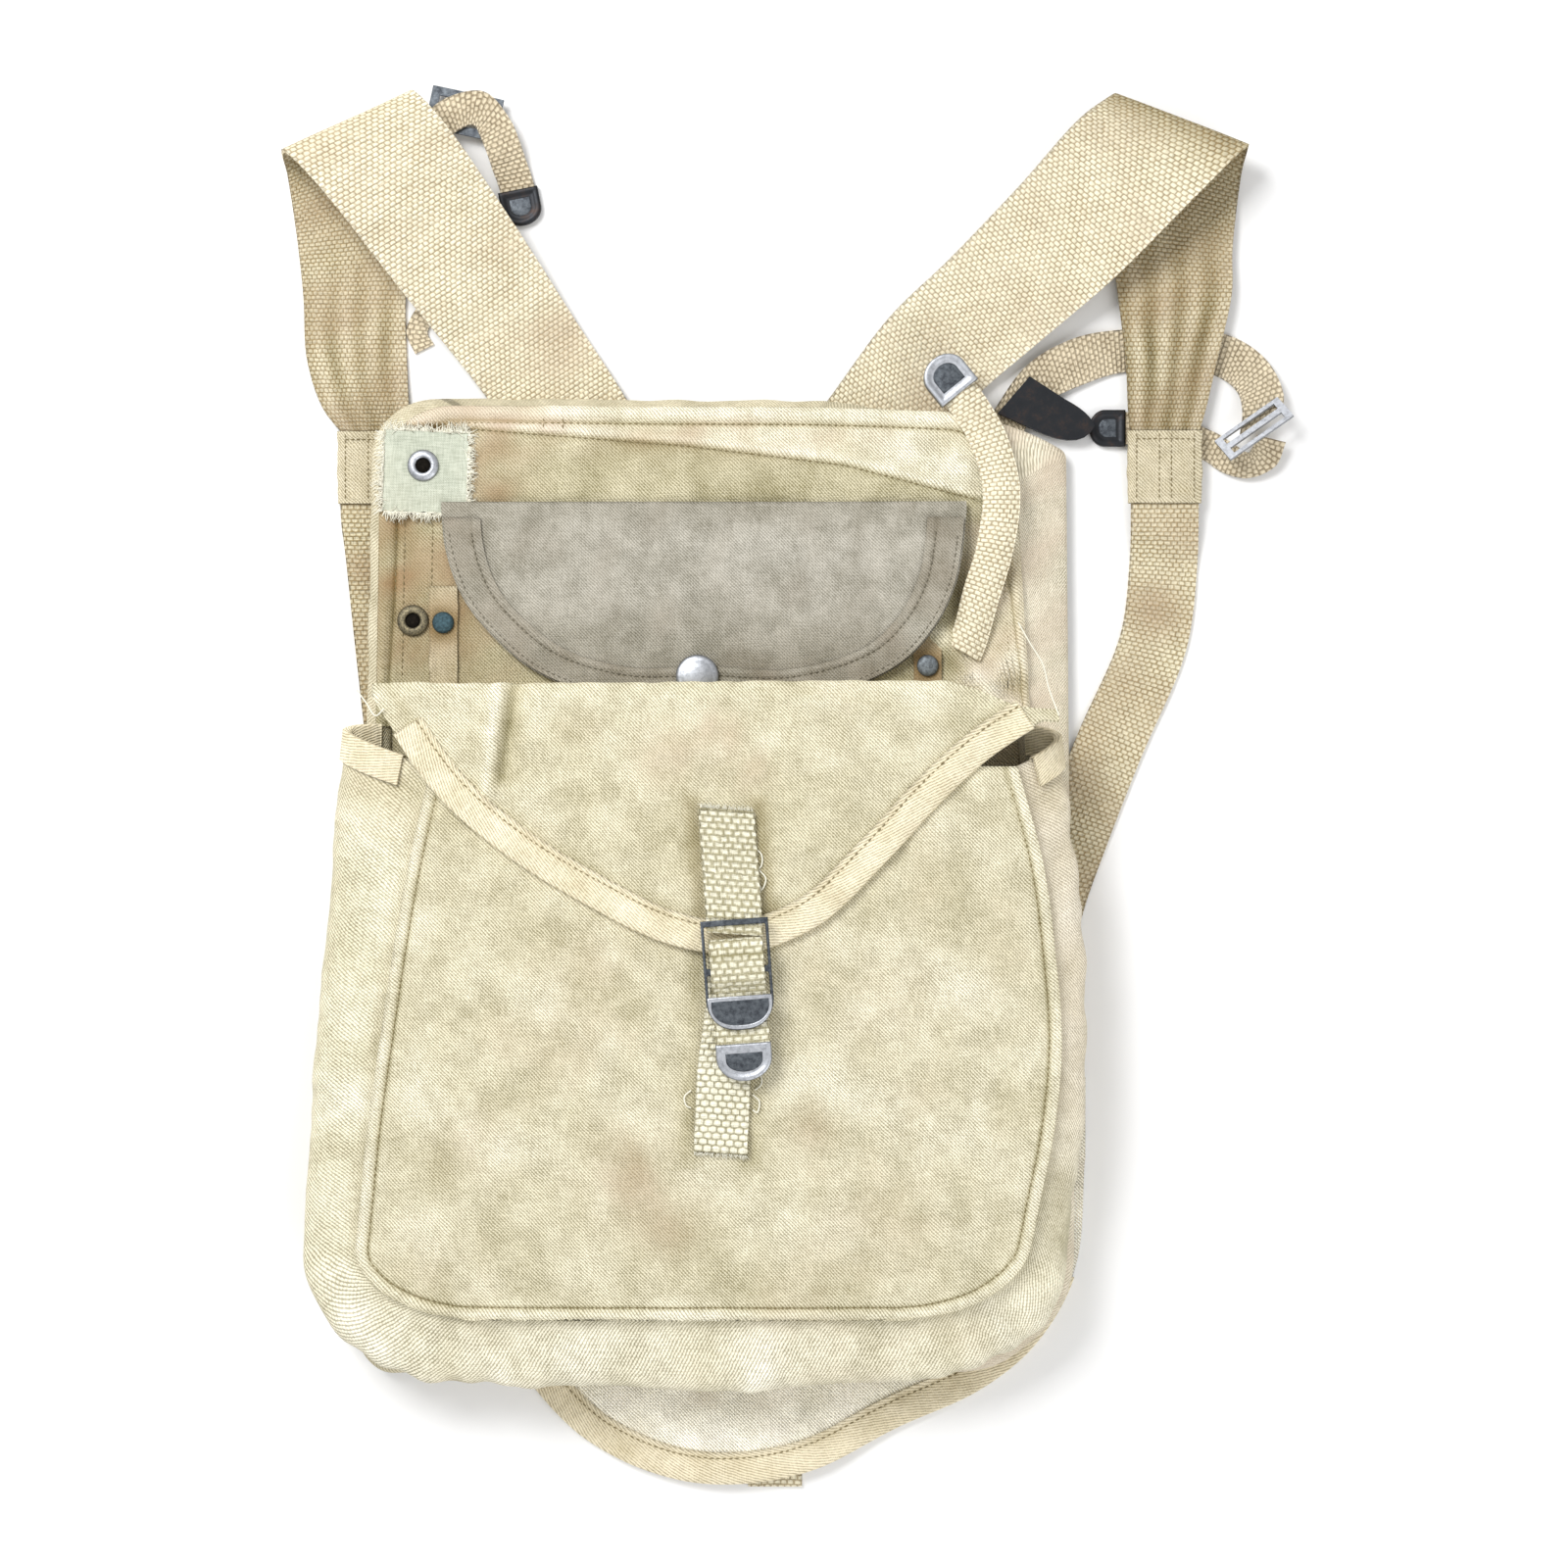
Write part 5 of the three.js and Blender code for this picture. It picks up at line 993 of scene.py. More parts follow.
# Tone: blotches, the darker halo round the tab, painted shadow inside the binding's edge, a painted
# highlight along the fold's crest, and painted light and shade following the relief.
tone = (0.07 * waves(x, y, 50, 34) + 0.04 * waves(x, y, 22, 62) - 0.28 * halo - 0.02
        - 0.14 * bell((y - edge_y - 16) / 5) * (v > hinge) + 0.08 * bell((y - 316) / 9)
        + 0.035 * flap_relief(x, y) + ridges(x, y, flap_shades)
        - 0.07 * bell((y - 255) / 18) * bell((x - 5) / 60))
stains = spots(x, y, ((-22, 288, 14, .5), (0, 300, 10, .5), (14, 282, 12, .45),
                      (-60, 300, 10, .12)))
flat_map = np.stack([x, y + (1 - t) * 36], -1) / 1000
flap = cloth("flap_sheet", mid, 1.3, flat_map, duck, ["pouch_flap"], tone=tone,
             soil=np.clip(stains * (0.7 + 0.4 * waves(x, y, 22, 35)) + 0.12 * halo, 0, 1))


def rim_binding(name, rim, level, node, stitch_name, soil=0.0):
    """Binding round a nearly level cloth: the way in is square to the rim in plan, and the
    tape's two sides follow the cloth's own level."""
    row_in = 11.2
    ahead = np.gradient(rim, axis=0)
    inward = unit(np.stack([-ahead[:, 1], ahead[:, 0]], -1))
    heart = rim[len(rim) // 2] * 0.335 + rim[0] * 0.335 + rim[-1] * 0.33
    inward *= np.sign(((heart - rim) * inward).sum(1))[:, None]
    reach, off = tape_path(np.array([1.0, 0.9, 0.8, 0.72, 0.6, 0.45, 0.3, 0.15]), 14, 1.4)
    place = rim[:, None] + inward[:, None] * reach[None, :, None]
    kept = rim[:, None] + inward[:, None] * np.maximum(reach, 0)[None, :, None]
    long = run_length(rim)[:, None]
    over = off > 1.3
    groove = -0.35 * bell((reach - row_in) / 1.2) + 0.25 * bell((reach - 3) / 3)
    pucker = 0.22 * waves(long, reach[None] * 0.3, 7, 36) * bell((reach - 8) / 6)
    z = level(kept[..., 0], kept[..., 1]) + off + over * (groove + pucker)
    # Tone of the tape: blotches, paler along its rolled edge, and painted shade in the stitch
    # groove.
    wear = (0.05 * waves(long, reach[None], 22, 37) + 0.10 * (np.abs(off) < 1.2)
            - 0.12 * bell((reach - row_in) / 1.0) * over)
    cloth(name, np.concatenate([place, z[..., None]], 2), 0.8, tape_map(rim, reach, off),
          tape_cloth, [node], tone=wear, soil=soil)
    runs = rim + inward * row_in
    stitches(stitch_name, [np.c_[runs, level(*runs.T) + 1.75]], thread, 3.0, 2.0, 0.6)


over = mix(-1, 1, np.linspace(0.035, 0.962, 460))
rim_binding("flap_tape", np.c_[over * flap_half, flap_edge(over)], flap_level,
            "pouch_flap_binding", "flap_stitching")


# Tab, buckle and strap at the front: inch webbing in a coarse pebble weave, sewn flat on the
# flap and on the pouch; the strap runs up behind the buckle, over its middle bar and back.
def webbing_weave(x_share, along, across, pitch):
    """Height of a pebble weave: round lumps in rows, every other row moved over by half."""
    row = np.floor(along / pitch)
    odd = np.mod(row, 2) * 0.5
    lump = np.abs(np.sin((x_share * across + odd) * np.pi)) * np.abs(np.sin(along / pitch * np.pi))
    return lump**0.6


def band(name, rows, thick, material, node, steps=160, cols=14, cup=0.0, tone=0.0, soil=0.0,
         weave=None, width=None, wave=0.25, rise=0.0):
    """Webbing along rows of x, y, z, turn in degrees and half width: a smooth curve for each
    selvedge, blended across, never below the floor. Cup raises the two edges; weave gives the
    lumps across and their pitch in mm, and rise their height. Tone and soil are numbers or
    are worked out from the shares across and along."""
    rows = np.asarray(rows, float)
    angle = np.radians(rows[:, 3])
    half = np.stack([np.cos(angle), np.sin(angle), 0 * angle], -1) * rows[:, 4:5]
    u, v = np.meshgrid(np.linspace(0, 1, cols), np.linspace(0, 1, steps))
    left, right = curve(rows[:, :3] - half, v), curve(rows[:, :3] + half, v)
    mid = mix(left, right, u[..., None])
    length = run_length(mid[:, cols // 2])
    along = np.broadcast_to(length[:, None], u.shape)
    mid[..., 2] += cup * (2 * u - 1) ** 2
    mid[..., 2] = np.maximum(mid[..., 2], thick / 2)
    n = normals_of(mid)
    mid = mid + n * (wave * waves(along, u * 20, 24, len(name)))[..., None] * np.array([1, 1, 0.6])
    wide = width or 2 * rows[:, 4].max()
    uv = np.stack([u * wide, along], -1) / 1000
    if weave:
        lumps = webbing_weave(u, along, *weave) * rise
        mid = mid + n * (lumps - rise / 2)[..., None]
    mid[..., 2] = np.maximum(mid[..., 2], thick / 2)
    field, dirt = (value(u, along / length[-1]) if callable(value) else value
                   for value in (tone, soil))
    edges = 0.10 * bell((np.abs(2 * u - 1) - 1) / 0.06)
    cloth(name, mid, thick, uv, material, [node], tone=field + edges, soil=dirt)


coarse_web = fabric("pebble_webbing_coarse", (1.0, 0.96, 0.76), (0.36, 0.32, 0.18),
                    (0.42, 0.32, 0.2), "pebble", (4.2, 2.9), 0.9, streak=0.22, mottle=0.12,
                    span=(0.08, 0.66))


def flap_top(y):
    """Upper side of the flap under the tab, without its relief."""
    return panel_level(line_at(y), y) + 3.15 + 0.7


feed = flap_top(205) + 0.3 + 0.9 + 0.3 + 1 + 0.25
tail = feed + 2.3
plate_level = tail + 1.3
over_bar = plate_level + 1.5 + 0.3 + 1
rows = []
for y0, rise in ((263, 0), (249, 0), (237, 0), (227, 0.5), (214, 1), (207.4, 1)):
    sewn = flap_top(y0) + 0.3 + 1 + 0.15
    rows.append((line_at(y0), y0, mix(sewn, tail, rise) + 0.5, -4, 12.7))
band("buckle_tab", rows, 1.8, coarse_web, "flap_tab", 90, 40, width=25.2, wave=0.1,
     weave=(6, 2.9), rise=0.55, tone=0.03)
rows = []
for y0, stage, line in ((108, 0, 0), (128, 0, 0), (146, 0, 0), (174, 1, .4), (193, 2, .7)):
    seat = panel_level(4, y0) + 0.7 + 0.3 + 1 + 0.15 + 0.35
    z = (seat, mix(seat, feed, 0.5), feed)[stage]
    rows.append((mix(2.3 + (y0 - 108) * 0.05, line_at(y0), line), y0, z, mix(-4, 4.2, line), 12.1))
rows.append((line_at(199), 199, feed, 4, 12.1))
turn_y, turn_r = 201.4, (over_bar - feed) / 2
for y0, z0 in ((turn_y, feed), (turn_y + 0.7 * turn_r, feed + 0.3 * turn_r),
               (turn_y + turn_r, feed + turn_r),
               (turn_y + 0.7 * turn_r, over_bar - 0.3 * turn_r), (turn_y, over_bar),
               (191, over_bar + 0.2), (187, over_bar - 0.5), (182.4, tail + 0.7), (178, tail),
               (162, tail), (154, tail - 0.4)):
    rows.append((line_at(y0), y0, z0, 4.2, 12.1))
# The strap's tone has a painted shade line where it drops past the buckle's middle bar.
band("buckle_strap", rows, 1.7, coarse_web, "pouch_strap", 330, 40, width=25.2, wave=0.08,
     weave=(6, 2.9), rise=0.5, tone=lambda u, v: 0.03 - 0.25 * bell((v - 0.705) / 0.012))

gunmetal = metal("worn_gunmetal", (0.16, 0.18, 0.20), (0.04, 0.045, 0.055), 0.28, 0.66)
enamel = metal("chipped_black", (0.030, 0.032, 0.036), (0.10, 0.055, 0.035), 0.2, 0.92, 160.0)


def plate(name, loops, level, thick, round_edge, place, turn, material, nodes):
    """Flat metal part: the first loop less the others, given a thickness and a rounded edge,
    turned in plan and moved to its place."""
    shape = bpy.data.curves.new(name, "CURVE")
    shape.dimensions, shape.fill_mode = "2D", "BOTH"
    shape.extrude, shape.bevel_depth = thick / 2 - round_edge, round_edge
    shape.bevel_resolution, shape.offset = 3, -round_edge
    for loop in loops:
        spline = shape.splines.new("POLY")
        spline.points.add(len(loop) - 1)
        spline.points.foreach_set("co", np.c_[loop, 0 * loop[:, 0], 1 + 0 * loop[:, 0]].ravel())
        spline.use_cyclic_u = True
    blank = bpy.data.objects.new(name + "_blank", shape)
    bpy.context.scene.collection.objects.link(blank)
    drawn = blank.evaluated_get(bpy.context.evaluated_depsgraph_get())
    mesh = bpy.data.meshes.new_from_object(drawn)
    bpy.data.objects.remove(blank)
    bpy.data.curves.remove(shape)
    work = bmesh.new()
    work.from_mesh(mesh)
    bmesh.ops.remove_doubles(work, verts=work.verts, dist=0.01)
    bmesh.ops.recalc_face_normals(work, faces=work.faces)
    work.to_mesh(mesh)
    work.free()
    points = np.empty(len(mesh.vertices) * 3)
    mesh.vertices.foreach_get("co", points)
    points = points.reshape(-1, 3)
    c, w = math.cos(turn), math.sin(turn)
    x, y = points[:, 0] * c - points[:, 1] * w, points[:, 0] * w + points[:, 1] * c
    moved = np.stack([x + place[0], y + place[1], points[:, 2] + level + thick / 2], -1)
    mesh.vertices.foreach_set("co", ((moved + shift) / 1000).ravel())
    mesh.name = name
    mesh.materials.clear()
    mesh.materials.append(material)
    piece = bpy.data.objects.new(name, mesh)
    bpy.context.scene.collection.objects.link(piece)
    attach(piece, "root")
    if nodes:
        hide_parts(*nodes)


def window(half, top, bottom, radius=0.8):
    """Rectangular hole with small round corners."""
    return rounded_loop([(-half, top, radius), (-half, bottom, radius), (half, bottom, radius),
                         (half, top, radius)], 4, 2)


def shield(half, top, shoulder, bottom):
    """Outline with a straight top and sides and a half-round foot."""
    angle = np.linspace(np.pi, 2 * np.pi, 33)
    foot = np.c_[half * np.sign(np.cos(angle)) * np.abs(np.cos(angle)) ** 0.8,
                 shoulder + (shoulder - bottom) * np.sin(angle)]
    return np.r_[[(half, top), (-half, top)], foot]


turn = math.atan(buckle_lean)
at = (line_at(214), 214)
plate("buckle_frame",
      [shield(15.3, 0, -36, -50), window(13.9, -2.7, -21.6), window(13.9, -24.6, -36)],
      plate_level, 1.5, 0.5, at, turn, gunmetal, ["buckle"])
plate("buckle_lip", [shield(13.6, -36.3, -39, -48.6)], plate_level + 1.2, 0.9, 0.3, at, turn,
      gunmetal, [])
plate("buckle_rim", [shield(14.6, -34.6, -38, -49.6), shield(12.9, -36.6, -39, -47.6)],
      plate_level + 1.1, 1.3, 0.5, at, turn, pewter, [])


def tip(name, end, forward, width, thick, long, finish, node):
    """Strap tip: a flat sleeve with a round far end, as outlines stacked from its underside to
    its top, the last ones sunk to leave a raised rim."""
    half, deep = width / 2 + 1.1, thick / 2 + 1.1
    angle = np.linspace(np.pi, 0, 41)
    bend = long - half * 0.85
    curve_x, curve_y = half * np.cos(angle), bend + half * 0.85 * np.sin(angle)
    side_y = np.linspace(0, bend, 9)[1:-1]
    back_x = np.linspace(half, -half, 17)[1:-1]
    outline = np.r_[np.c_[0 * side_y - half, side_y], np.c_[curve_x, curve_y],
                    np.c_[0 * side_y + half, side_y[::-1]], [(half, 0)], np.c_[back_x, 0 * back_x],
                    [(-half, 0)]]
    heart = np.array([0, long / 2])
    levels = [(0.7, -deep), (0.15, -deep + 0.25), (0, -deep + 0.8), (0, deep - 0.8),
              (0.2, deep - 0.2), (0.8, deep), (2.2, deep), (2.7, deep - 0.35), (3.6, deep - 0.45)]
    recess = [(4.3, deep - 0.75), (4.3, deep - 0.4), (4.8, deep - 0.3)]
    forward = np.array([*forward, 0.0]) / np.hypot(*forward)
    side = np.array([forward[1], -forward[0], 0])
    back = np.array(end) + forward * (0.3 - long * 0.25)
    for part, steps, metal_used, nodes in ((name, levels, finish, [node]),
                                           (name + "_recess", recess, gunmetal, [])):
        rings = []
        for inset, high in steps:
            shrink = 1 - inset / np.array([half, long / 2])
            ring = heart + (outline - heart) * shrink
            rings.append(np.c_[ring, np.full(len(ring), high)])
        rings = np.stack(rings)
        verts = (back + rings[..., :1] * side + rings[..., 1:2] * forward
                 + rings[..., 2:] * [0, 0, 1])
        count = rings.shape[1]
        faces = grid_faces(len(rings), count, True)[:, ::-1]
        caps = np.stack([np.arange(count), (len(rings) - 1) * count + np.arange(count)[::-1]])
        put_mesh(part, verts.reshape(-1, 3), [faces, caps],
                 rings[..., :2].reshape(-1, 2) / 1000, {}, metal_used, nodes)


tip("buckle_strap_end", (line_at(154), 154, tail - 0.4), (buckle_lean, -1), 23.0, 2.0, 17, pewter,
    "pouch_strap_tip")
closing_level = float(face_top(110, 460)) + 0.3 + 1.2 + 2
tip("closing_end", (110, 460, closing_level), (-0.63, 0.78), 19, 4.4, 20, pewter,
    "closing_strap_tip")
tip("side_tail_end", (188, 442.5, 2), (-1, 0), 15, 1.8, 17, enamel, "side_tail_tip")
tip("fold_end", (-93.5, 551, 2), (0.2, -1), 16.6, 1.8, 17, enamel, "fold_strap_tip")

# The hook and the slides keep their worked shapes and take worn finishes.
for node, finish in (("side_slide", pewter), ("strap_hook", enamel), ("fold_slide", gunmetal)):
    bpy.data.objects[node].data.materials.clear()
    bpy.data.objects[node].data.materials.append(finish)

# Frayed ends of the two sewn webbing pieces, and stray loops of thread beside them.
rng = np.random.default_rng(11)
roots, aims, count = [], [], 110
for x0, y0, z0, lean, way in ((line_at(263), 263.4, flap_top(263) + 1.6, -0.07, 1),
                              (2.3, 107.4, panel_level(4, 108) + 2.2, -0.07, -1)):
    across = rng.uniform(-12, 12, count)
    roots.append(np.c_[x0 + across, y0 + across * lean, z0 + rng.uniform(-0.6, 0.4, count)])
    aims.append(np.c_[rng.normal(0, 0.35, count), np.full(count, way),
                      rng.uniform(-0.1, 0.3, count)])
frays("tab_frays", np.concatenate(roots), np.concatenate(aims), rng.uniform(0.8, 2.6, 2 * count),
      0.42, pale, 0.8)


def strands(name, lines, thick, material):
    """Loose threads along smooth curves, as tubes of five sides closed at both ends."""
    steps, sides = 40, 5
    count = steps * sides
    t, around = np.linspace(0, 1, steps), np.linspace(0, 2 * np.pi, sides + 1)[:-1]
    ends = np.stack([np.arange(sides), count - 1 - np.arange(sides)])
    verts, faces, caps = [], [], []
    for k, points in enumerate(lines):
        line = curve(points, t)
        along = np.gradient(line, axis=0)
        side = unit(np.cross(along, [0, 0, 1.0]))
        up = unit(np.cross(side, along))
        ring = side[:, None] * np.cos(around)[:, None] + up[:, None] * np.sin(around)[:, None]
        verts.append((line[:, None] + ring * thick / 2).reshape(-1, 3))
        faces.append(grid_faces(steps, sides, True, k * count)[:, ::-1])
        caps.append(ends + k * count)
    verts = np.concatenate(verts)
    put_mesh(name, verts, [np.concatenate(faces), np.concatenate(caps)],
             np.zeros((len(verts), 2)), {"tone": 0.0, "soil": 0.0}, material, [])


def on_panel(x, y, up):
    """Point lying on the front panel, raised by up."""
    return (x, y, float(panel_level(x, y)) + 1.3 + up)


def on_flap(x, y, up):
    """Point lying on the flap, raised by up."""
    return (x, y, float(flap_level(np.array(x), np.array(y))) + 0.9 + up)


strands("stray_threads", [
    [on_flap(18, 246, 0), on_flap(21, 243, 0.5), on_flap(21, 238, 0.5), on_flap(19, 236, 0)],
    [on_flap(20, 236, 0), on_flap(23, 232, 0.6), on_flap(21, 227, 0.6), on_flap(20, 229, 0.2)],
    [on_panel(16, 146, 0), on_panel(20, 144, 0.6), on_panel(21, 139, 0.6), on_panel(18, 136, 0)],
    [on_panel(17, 134, 0), on_panel(20, 131, 0.6), on_panel(19, 126, 0.6), on_panel(17, 127, 0)],
    [on_panel(-11, 136, 0), on_panel(-14, 133, 0.5), on_panel(-13, 129, 0.4),
     on_panel(-11, 128, 0)],
    [(140, 350, 23), (145, 340, 30), (150, 330, 40), (152, 318, 52), (156, 306, 58)],
    [(-166, 318, 30), (-160, 312, 44), (-154, 306, 56), (-150, 309, 60)],
], 0.75, pale)

# Back flap: a half-round sheet sewn under the back panel, lying inner side up past the bag's
# bottom edge, bound round, pinkish with wear, the end of a webbing tab under its rim.
back_across = (-1, -.97, -.86, -.72, -.54, -.3, -.08, .15, .42, .68, .85, .97, 1)
back_drops = (.22, .4, .6, .76, .9, .985, 1, .965, .86, .765, .65, .47, .2)
back_x, back_half, back_top, back_drop = 22, 151, 137, 190
back_rim = np.c_[back_x + np.array(back_across) * back_half,
                 back_top - np.array(back_drops) * back_drop]


def back_level(x, y):
    """Middle of the back flap: a tape's thickness off the floor, over the tab, and up to the
    back panel."""
    rise = ease((y - 97) / 34)
    beside = np.maximum(0, np.abs(x - 27) - 19) / 26
    over_tab = 2.6 * bell(beside) * bell((y + 53) / 40)
    rumple = (0.7 + 0.5 * waves(x, y, 34, 41)) * ease((-4 - y) / 14)
    return mix(1.9 + over_tab + rumple, 3.7, rise)


u, v = np.meshgrid(np.linspace(0, 1, 170), np.linspace(0, 1, 90))
rim = even(back_rim, u)
x, y = rim[..., 0], mix(back_top, rim[..., 1], v)
# Its tone is raised throughout: paler, faded cloth, and partly painted light that lifts it out of
# the shade beside the bag.
back = cloth("back_sheet", np.stack([x, y, back_level(x, y)], -1), 1.3, plan_map(x, y), duck,
             ["back_flap"], tone=0.48 + 0.07 * waves(x, y, 24, 42),
             soil=np.clip(0.06 + 0.16 * waves(x, y, 20, 43), 0, 1))
rim_binding("back_tape", even(back_rim, np.linspace(0.12, 0.88, 420)), back_level,
            "back_flap_binding", "back_stitching", 0.1)
web = fabric("pebble_webbing", (1.0, 0.93, 0.71), (0.42, 0.33, 0.19), (0.46, 0.33, 0.22),
             "pebble", (3.1, 2.1), 0.7, streak=0.22, mottle=0.15, span=(0.10, 0.60))
band("back_tab", [(27, -32, 1.1, 0, 12.7), (27, -44, 1.1, 0, 12.7), (27, -56, 1.1, 0, 12.7)], 1.8,
     web, "back_flap_tab", 40, 20, wave=0.05)


# Shoulder straps: wide webbing from under the bag's top edge out and over in a fold, then back
# down, gathered into a sewn sleeve on each side.
def on_route(side, up, high):
    """Place on a strap's route: side as a share of the top's half width, up of the straps'
    reach above the bag or of the bag's height below its top, high of the fold's height."""
    y = bag_height + up * (132 if up >= 0 else bag_height)
    return side * top_half, y, max(1.1, 3.3 + 24 * high)


left_leg = [(-.36, -.06, 0, 32, .85), (-.42, -.022, 0, 32, .85), (-.55, .16, .02, 33, .87),
            (-.75, .5, .45, 34, .96), (-.97, .86, .92, 29, 1.02), (-1.055, .965, .86, 25, 1.04),
            (-1.072, .965, .45, 24, 1.04), (-1.068, .9, .02, 22, 1.02), (-1.055, .64, -.1, 9, .9),
            (-1.06, .38, -.1, 0, .76), (-1.053, .15, -.1, 0, .74), (-1.027, -.006, -.04, 0, .64),
            (-1, -.03, -.04, 0, .52)]
right_leg = [(.36, -.075, 0, -45, .85), (.43, -.045, 0, -45, .85), (.62, .15, 0, -45, .87),
             (.8, .35, .2, -45, .9), (1.01, .586, .62, -44, .97), (1.22, .85, .98, -33, 1.02),
             (1.33, .965, .9, -21, 1.04), (1.342, .965, .45, -20, 1.04),
             (1.335, .89, .05, -18, 1.02), (1.32, .58, .05, -8, .92), (1.33, .38, .1, 0, .84),
             (1.32, .138, .1, 0, .67), (1.308, -.006, .1, 0, .58), (1.301, -.03, .1, 0, .52)]
aged = fabric("pebble_webbing_aged", (0.84, 0.73, 0.53), (0.26, 0.20, 0.12), (0.34, 0.25, 0.17),
              "pebble", (3.1, 2.1), 0.7, streak=0.22, mottle=0.25, span=(0.08, 0.7))


def leg_tone(u, v, deep):
    """Shade of a shoulder strap: darker down its leg, most just past the fold, with runs along
    it and dark gathers by the sleeve; deep adds to all but the last."""
    leg = (0.22 + deep) * ease((v - 0.56) / 0.06) + (0.2 + deep) * bell((v - 0.6) / 0.05)
    runs = (0.11 + deep) * np.sin(24 * u + 5 * v) * ease((v - 0.7) / 0.2)
    gather = bell((np.abs(2 * u - 1) - 0.2 - 3 * (0.99 - v)) / 0.16) * ease((v - 0.8) / 0.1)
    return 0.01 - leg + runs - 0.15 * gather


def leg_soil(u, v):
    """Soil of a shoulder strap: more down its leg, blotched, with a stain near its root."""
    stain = 0.25 * bell((v - 0.16) / 0.06) * bell((u - 0.8) / 0.4)
    blotched = 0.16 * waves(u * 60, v * 500, 40, 44)
    return np.clip(0.06 + 0.22 * ease((v - 0.54) / 0.08) + blotched + stain, 0, 1)


for side, leg, deep in (("left", left_leg, 0.0), ("right", right_leg, 0.08)):
    rows = [(*on_route(*row[:3]), row[3], row[4] * 31.75) for row in leg]
    band("shoulder_" + side, rows, 2.0, web, "shoulder_strap_" + side, 320, 36, width=63.5,
         wave=0.4, tone=lambda u, v: leg_tone(u, v, deep), soil=leg_soil)

# Side straps of narrow webbing, from each sleeve down under the bag, and the sleeves' canvas.
side_rows = {
    "left": (-161.5, 2.34, -0.24, [
        (-1, -.12, -.04, 0), (-.989, -.155, -.1, 0), (-.951, -.28, -.1, 4), (-.91, -.4, -.04, 8),
        (-.87, -.49, -.04, 8)]),
    "right": (210.1, 5.7, -0.15, [
        (1.301, -.07, .1, 0), (1.301, -.12, .1, 0), (1.3, -.17, -.1, -3), (1.27, -.25, -.1, -12),
        (1.144, -.355, -.1, -24), (1.04, -.45, -.1, -17), (.97, -.52, -.04, -14),
        (.92, -.6, -.04, -14)]),
}
y0, half_w, half_h, sleeve_long = 439.95, 17.1, 2.15, 34
for side, (x0, z0, shade, down) in side_rows.items():
    rows = [(x0, y0, z0, 0, 15.875)] + [(*on_route(*row[:3]), row[3], 15.875) for row in down]
    band("side_web_" + side, rows, 2.0, web, "side_strap_" + side, 220, 20, wave=0.3,
         tone=shade, soil=lambda u, v: 0.2 + 0.2 * waves(u * 30, v * 300, 30, 45))
    around = np.linspace(0, 2 * np.pi, 49)[:-1]
    ring = np.stack([np.cos(around), np.sin(around)], -1)
    across, high = (np.sign(ring) * np.abs(ring) ** 0.25 * (half_w, half_h)).T
    v = np.linspace(0, 1, 60)[:, None]
    lump = 0.45 * bell(across / 2.2) + 0.3 * bell((np.abs(across) - 13) / 2)
    x = x0 + across * (1 + 0.02 * waves(v * sleeve_long, v * 0, 12, 46))
    y = y0 + 1 - sleeve_long * v + 0 * x
    z = z0 + high + (high > 0) * (lump + 0.2 * waves(x, y, 9, 47))
    cloth("sleeve_" + side, np.stack([x, y, np.maximum(z, 0.4)], -1), 0.75,
          np.stack([x, y + z * 2], -1) / 1000, duck, ["strap_sleeve_" + side],
          ring=True, tone=-0.02 + 0.05 * waves(x, y, 9, 48), soil=0.25)
    ys, stitch_z = np.linspace(y0, y0 - 31, 20), z0 + 3.15
    runs = [np.c_[np.full(20, x0 + dx), ys, np.full(20, stitch_z)]
            for dx in (-13.5, -2.8, 2.8, 13.5)]
    runs.append(np.c_[np.linspace(x0 - 14, x0 + 14, 12), np.full(12, y0 - 3),
                      np.full(12, stitch_z)])
    stitches("sleeve_stitching_" + side, runs, thread, 2.6, 1.8, 0.55)

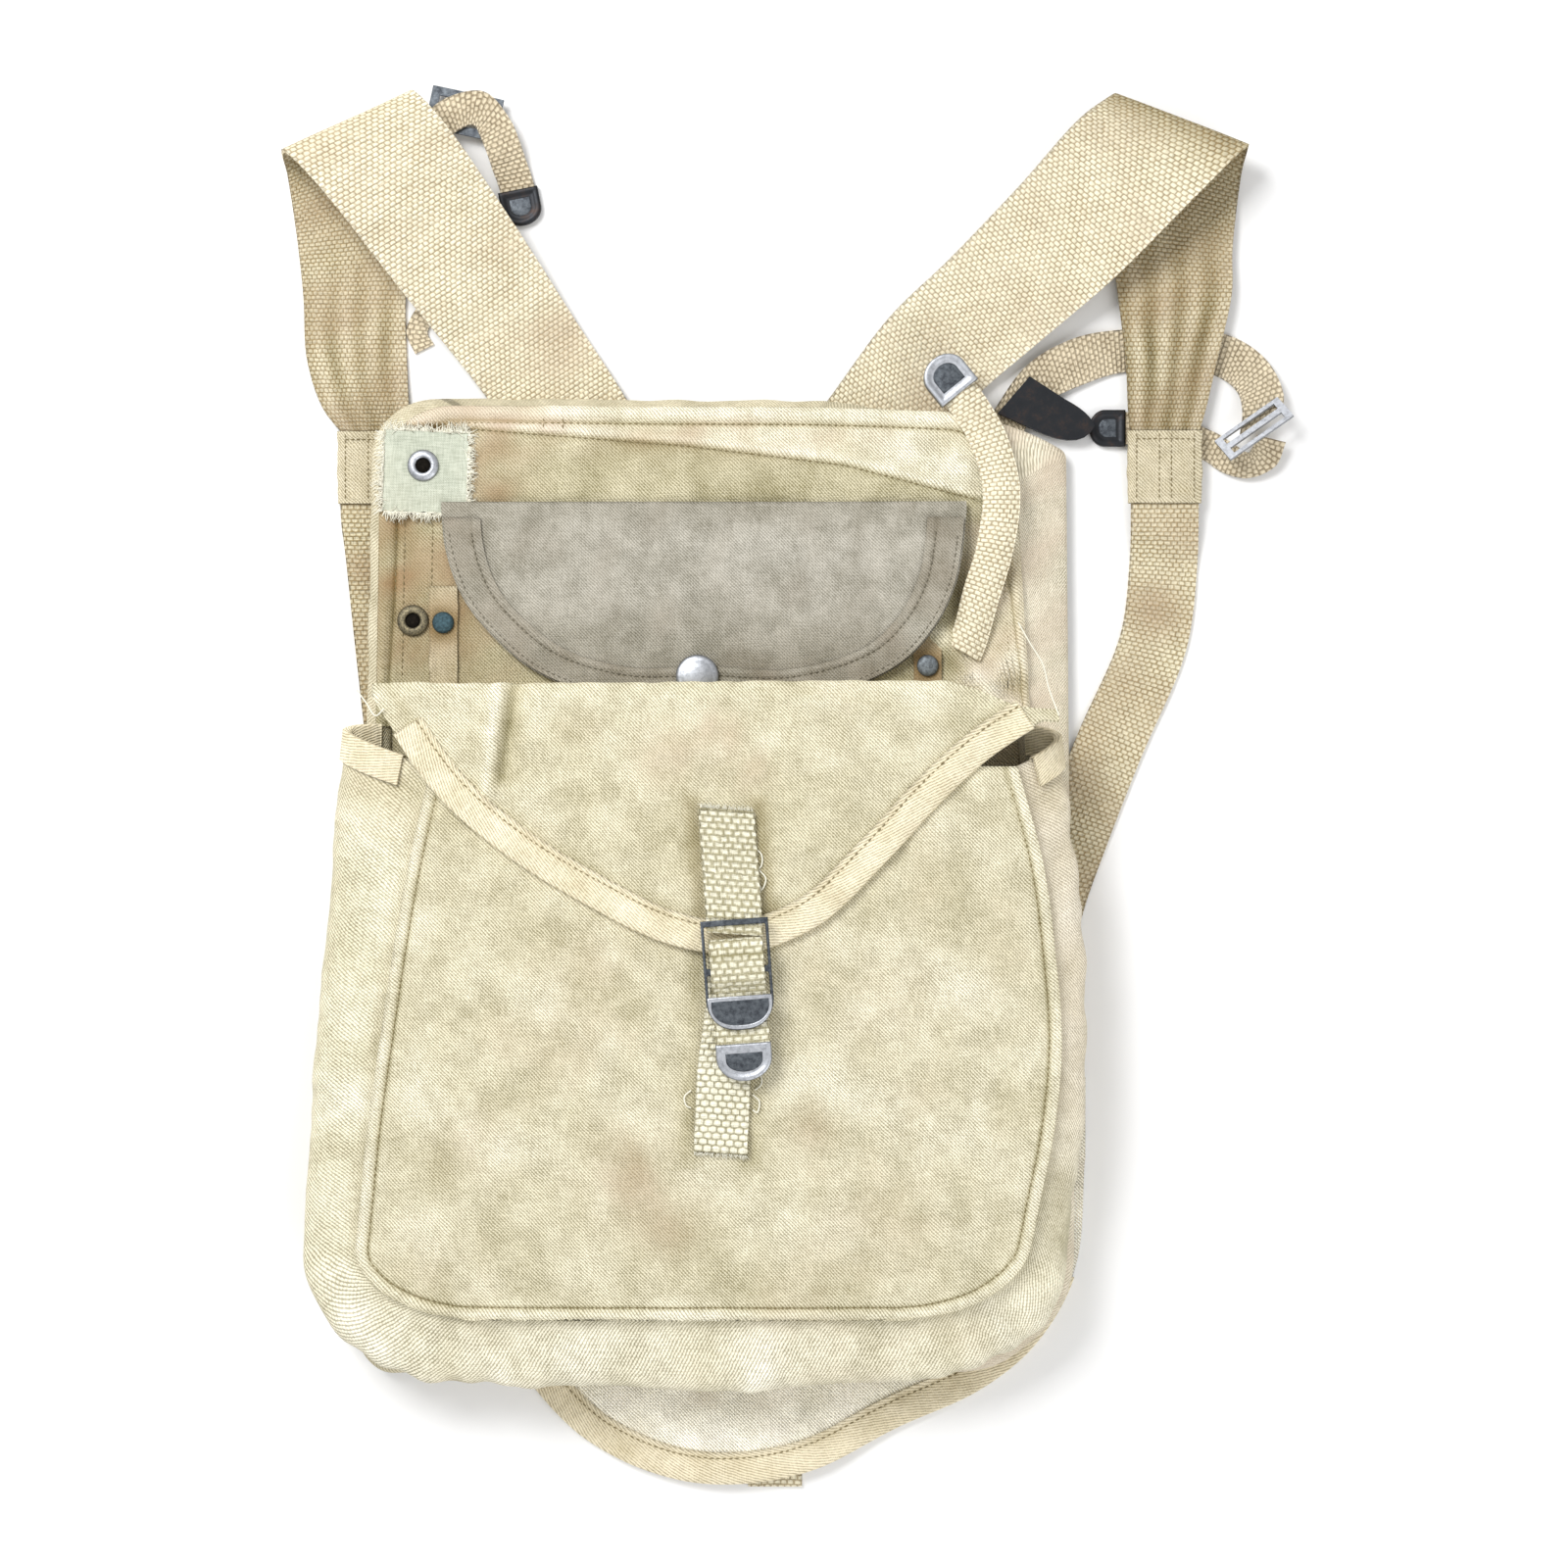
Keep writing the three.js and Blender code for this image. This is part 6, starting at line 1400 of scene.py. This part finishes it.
# Closing strap, side loop and tail, fold strap and small loop: loose narrow webbing.
rows = []
for x0, y0, rise, turn in ((114.5, 336, 0, -29), (118, 345, .1, -28), (122.5, 362, 3, -22),
                           (129, 385, 6, -11), (132, 411, 4, 3), (127, 433, .1, 18),
                           (119, 448, .3, 30), (110, 460, 1.2, 39)):
    rows.append((x0, y0, float(face_top(x0, y0)) + 0.3 + rise + 3.6, turn, 8.2))
band("closing_web", rows, 1.8, web, "closing_strap", 240, 26, cup=-2.6, wave=0.15, tone=0.02)
loops = {
    "side_loop": [(120, 422, 3.2, 130, 9), (133, 440, 3.2, 128, 9), (150, 463, 3, 118, 10),
                  (170, 474, 2.4, 104, 11), (190, 479, .9, 94, 10), (218, 480, .9, 88, 9),
                  (240, 476, .9, 70, 10), (252, 466, 4, 40, 10), (256, 452, 8, 14, 10),
                  (253, 442, 8, 32, 9.5)],
    "side_tail": [(260, 437, 7, -13, 7), (257, 429, 4.5, -40, 7), (250, 425, 3, -90, 6),
                  (241, 428, 2, -115, 7), (232, 434, 1, -118, 7), (214, 440, 1.6, -106, 7.5),
                  (196, 442.5, 2, -92, 7.5), (188, 442.5, 2, -90, 7.5)],
    "fold_strap": [(-156, 561, 3.8, 128, 7.2), (-149, 568, 4.4, 127, 7.2),
                   (-140, 576, 7.7, 124, 7.2), (-125, 589, 7.7, 114, 8),
                   (-112, 592, 7.7, 72, 8.2), (-104, 582, 7.7, 32, 8.2),
                   (-101, 575, 7.7, 24, 8.2), (-98, 566, 4.2, 16, 8.2),
                   (-95.5, 559, 2, 11.3, 8.2), (-93.5, 551, 2, 11.3, 8.2)],
    "shoulder_loop": [(-129.3, 503, .9, -53, 5), (-137.3, 497, .9, -41, 5),
                      (-141.8, 488, .9, -3, 5), (-138.3, 480, .9, 27, 5)],
}
for node, rows in loops.items():
    band(node + "_web", rows, 1.6, aged, node, 130, 12, wave=0.1)

# Floor, light and camera, as in the photo: a pale floor seen from straight above.
floor_mesh = bpy.data.meshes.new("floor")
floor_mesh.from_pydata([(-4, -4, 0), (4, -4, 0), (4, 4, 0), (-4, 4, 0)], [], [(0, 1, 2, 3)])
floor = bpy.data.objects.new("floor", floor_mesh)
paint = bpy.data.materials.new("white_floor")
paint.use_nodes = True
paint.node_tree.nodes["Principled BSDF"].inputs["Base Color"].default_value = (0.9, 0.9, 0.9, 1)
paint.node_tree.nodes["Principled BSDF"].inputs["Roughness"].default_value = 0.8
floor_mesh.materials.append(paint)
bpy.context.scene.collection.objects.link(floor)
floor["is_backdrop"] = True
for name, place, size, power in (("key", (-0.8, 0.9, 1.4), 0.8, 29),
                                 ("fill", (0.9, -1.1, 1.3), 1.4, 14)):
    lamp = bpy.data.lights.new(name, "AREA")
    lamp.shape, lamp.size, lamp.energy = "SQUARE", size, power
    light = bpy.data.objects.new(name, lamp)
    light.location = place
    aim = -np.array(place)
    light.rotation_euler = (math.acos(-aim[2] / np.linalg.norm(aim)), 0,
                            math.atan2(aim[1], aim[0]) - math.pi / 2)
    bpy.context.scene.collection.objects.link(light)
world = bpy.data.worlds.new("soft_room")
world.use_nodes = True
world.node_tree.nodes["Background"].inputs[0].default_value = (1, 1, 1, 1)
world.node_tree.nodes["Background"].inputs[1].default_value = 0.56
bpy.context.scene.world = world
lens = bpy.data.cameras.new("above")
lens.lens, lens.sensor_width = 73.0, 36.0
camera = bpy.data.objects.new("above", lens)
camera.location = (-0.0015, 0.0013, 1.5)
bpy.context.scene.collection.objects.link(camera)
bpy.context.scene.camera = camera
bpy.context.scene.view_settings.view_transform = "Standard"

low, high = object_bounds()
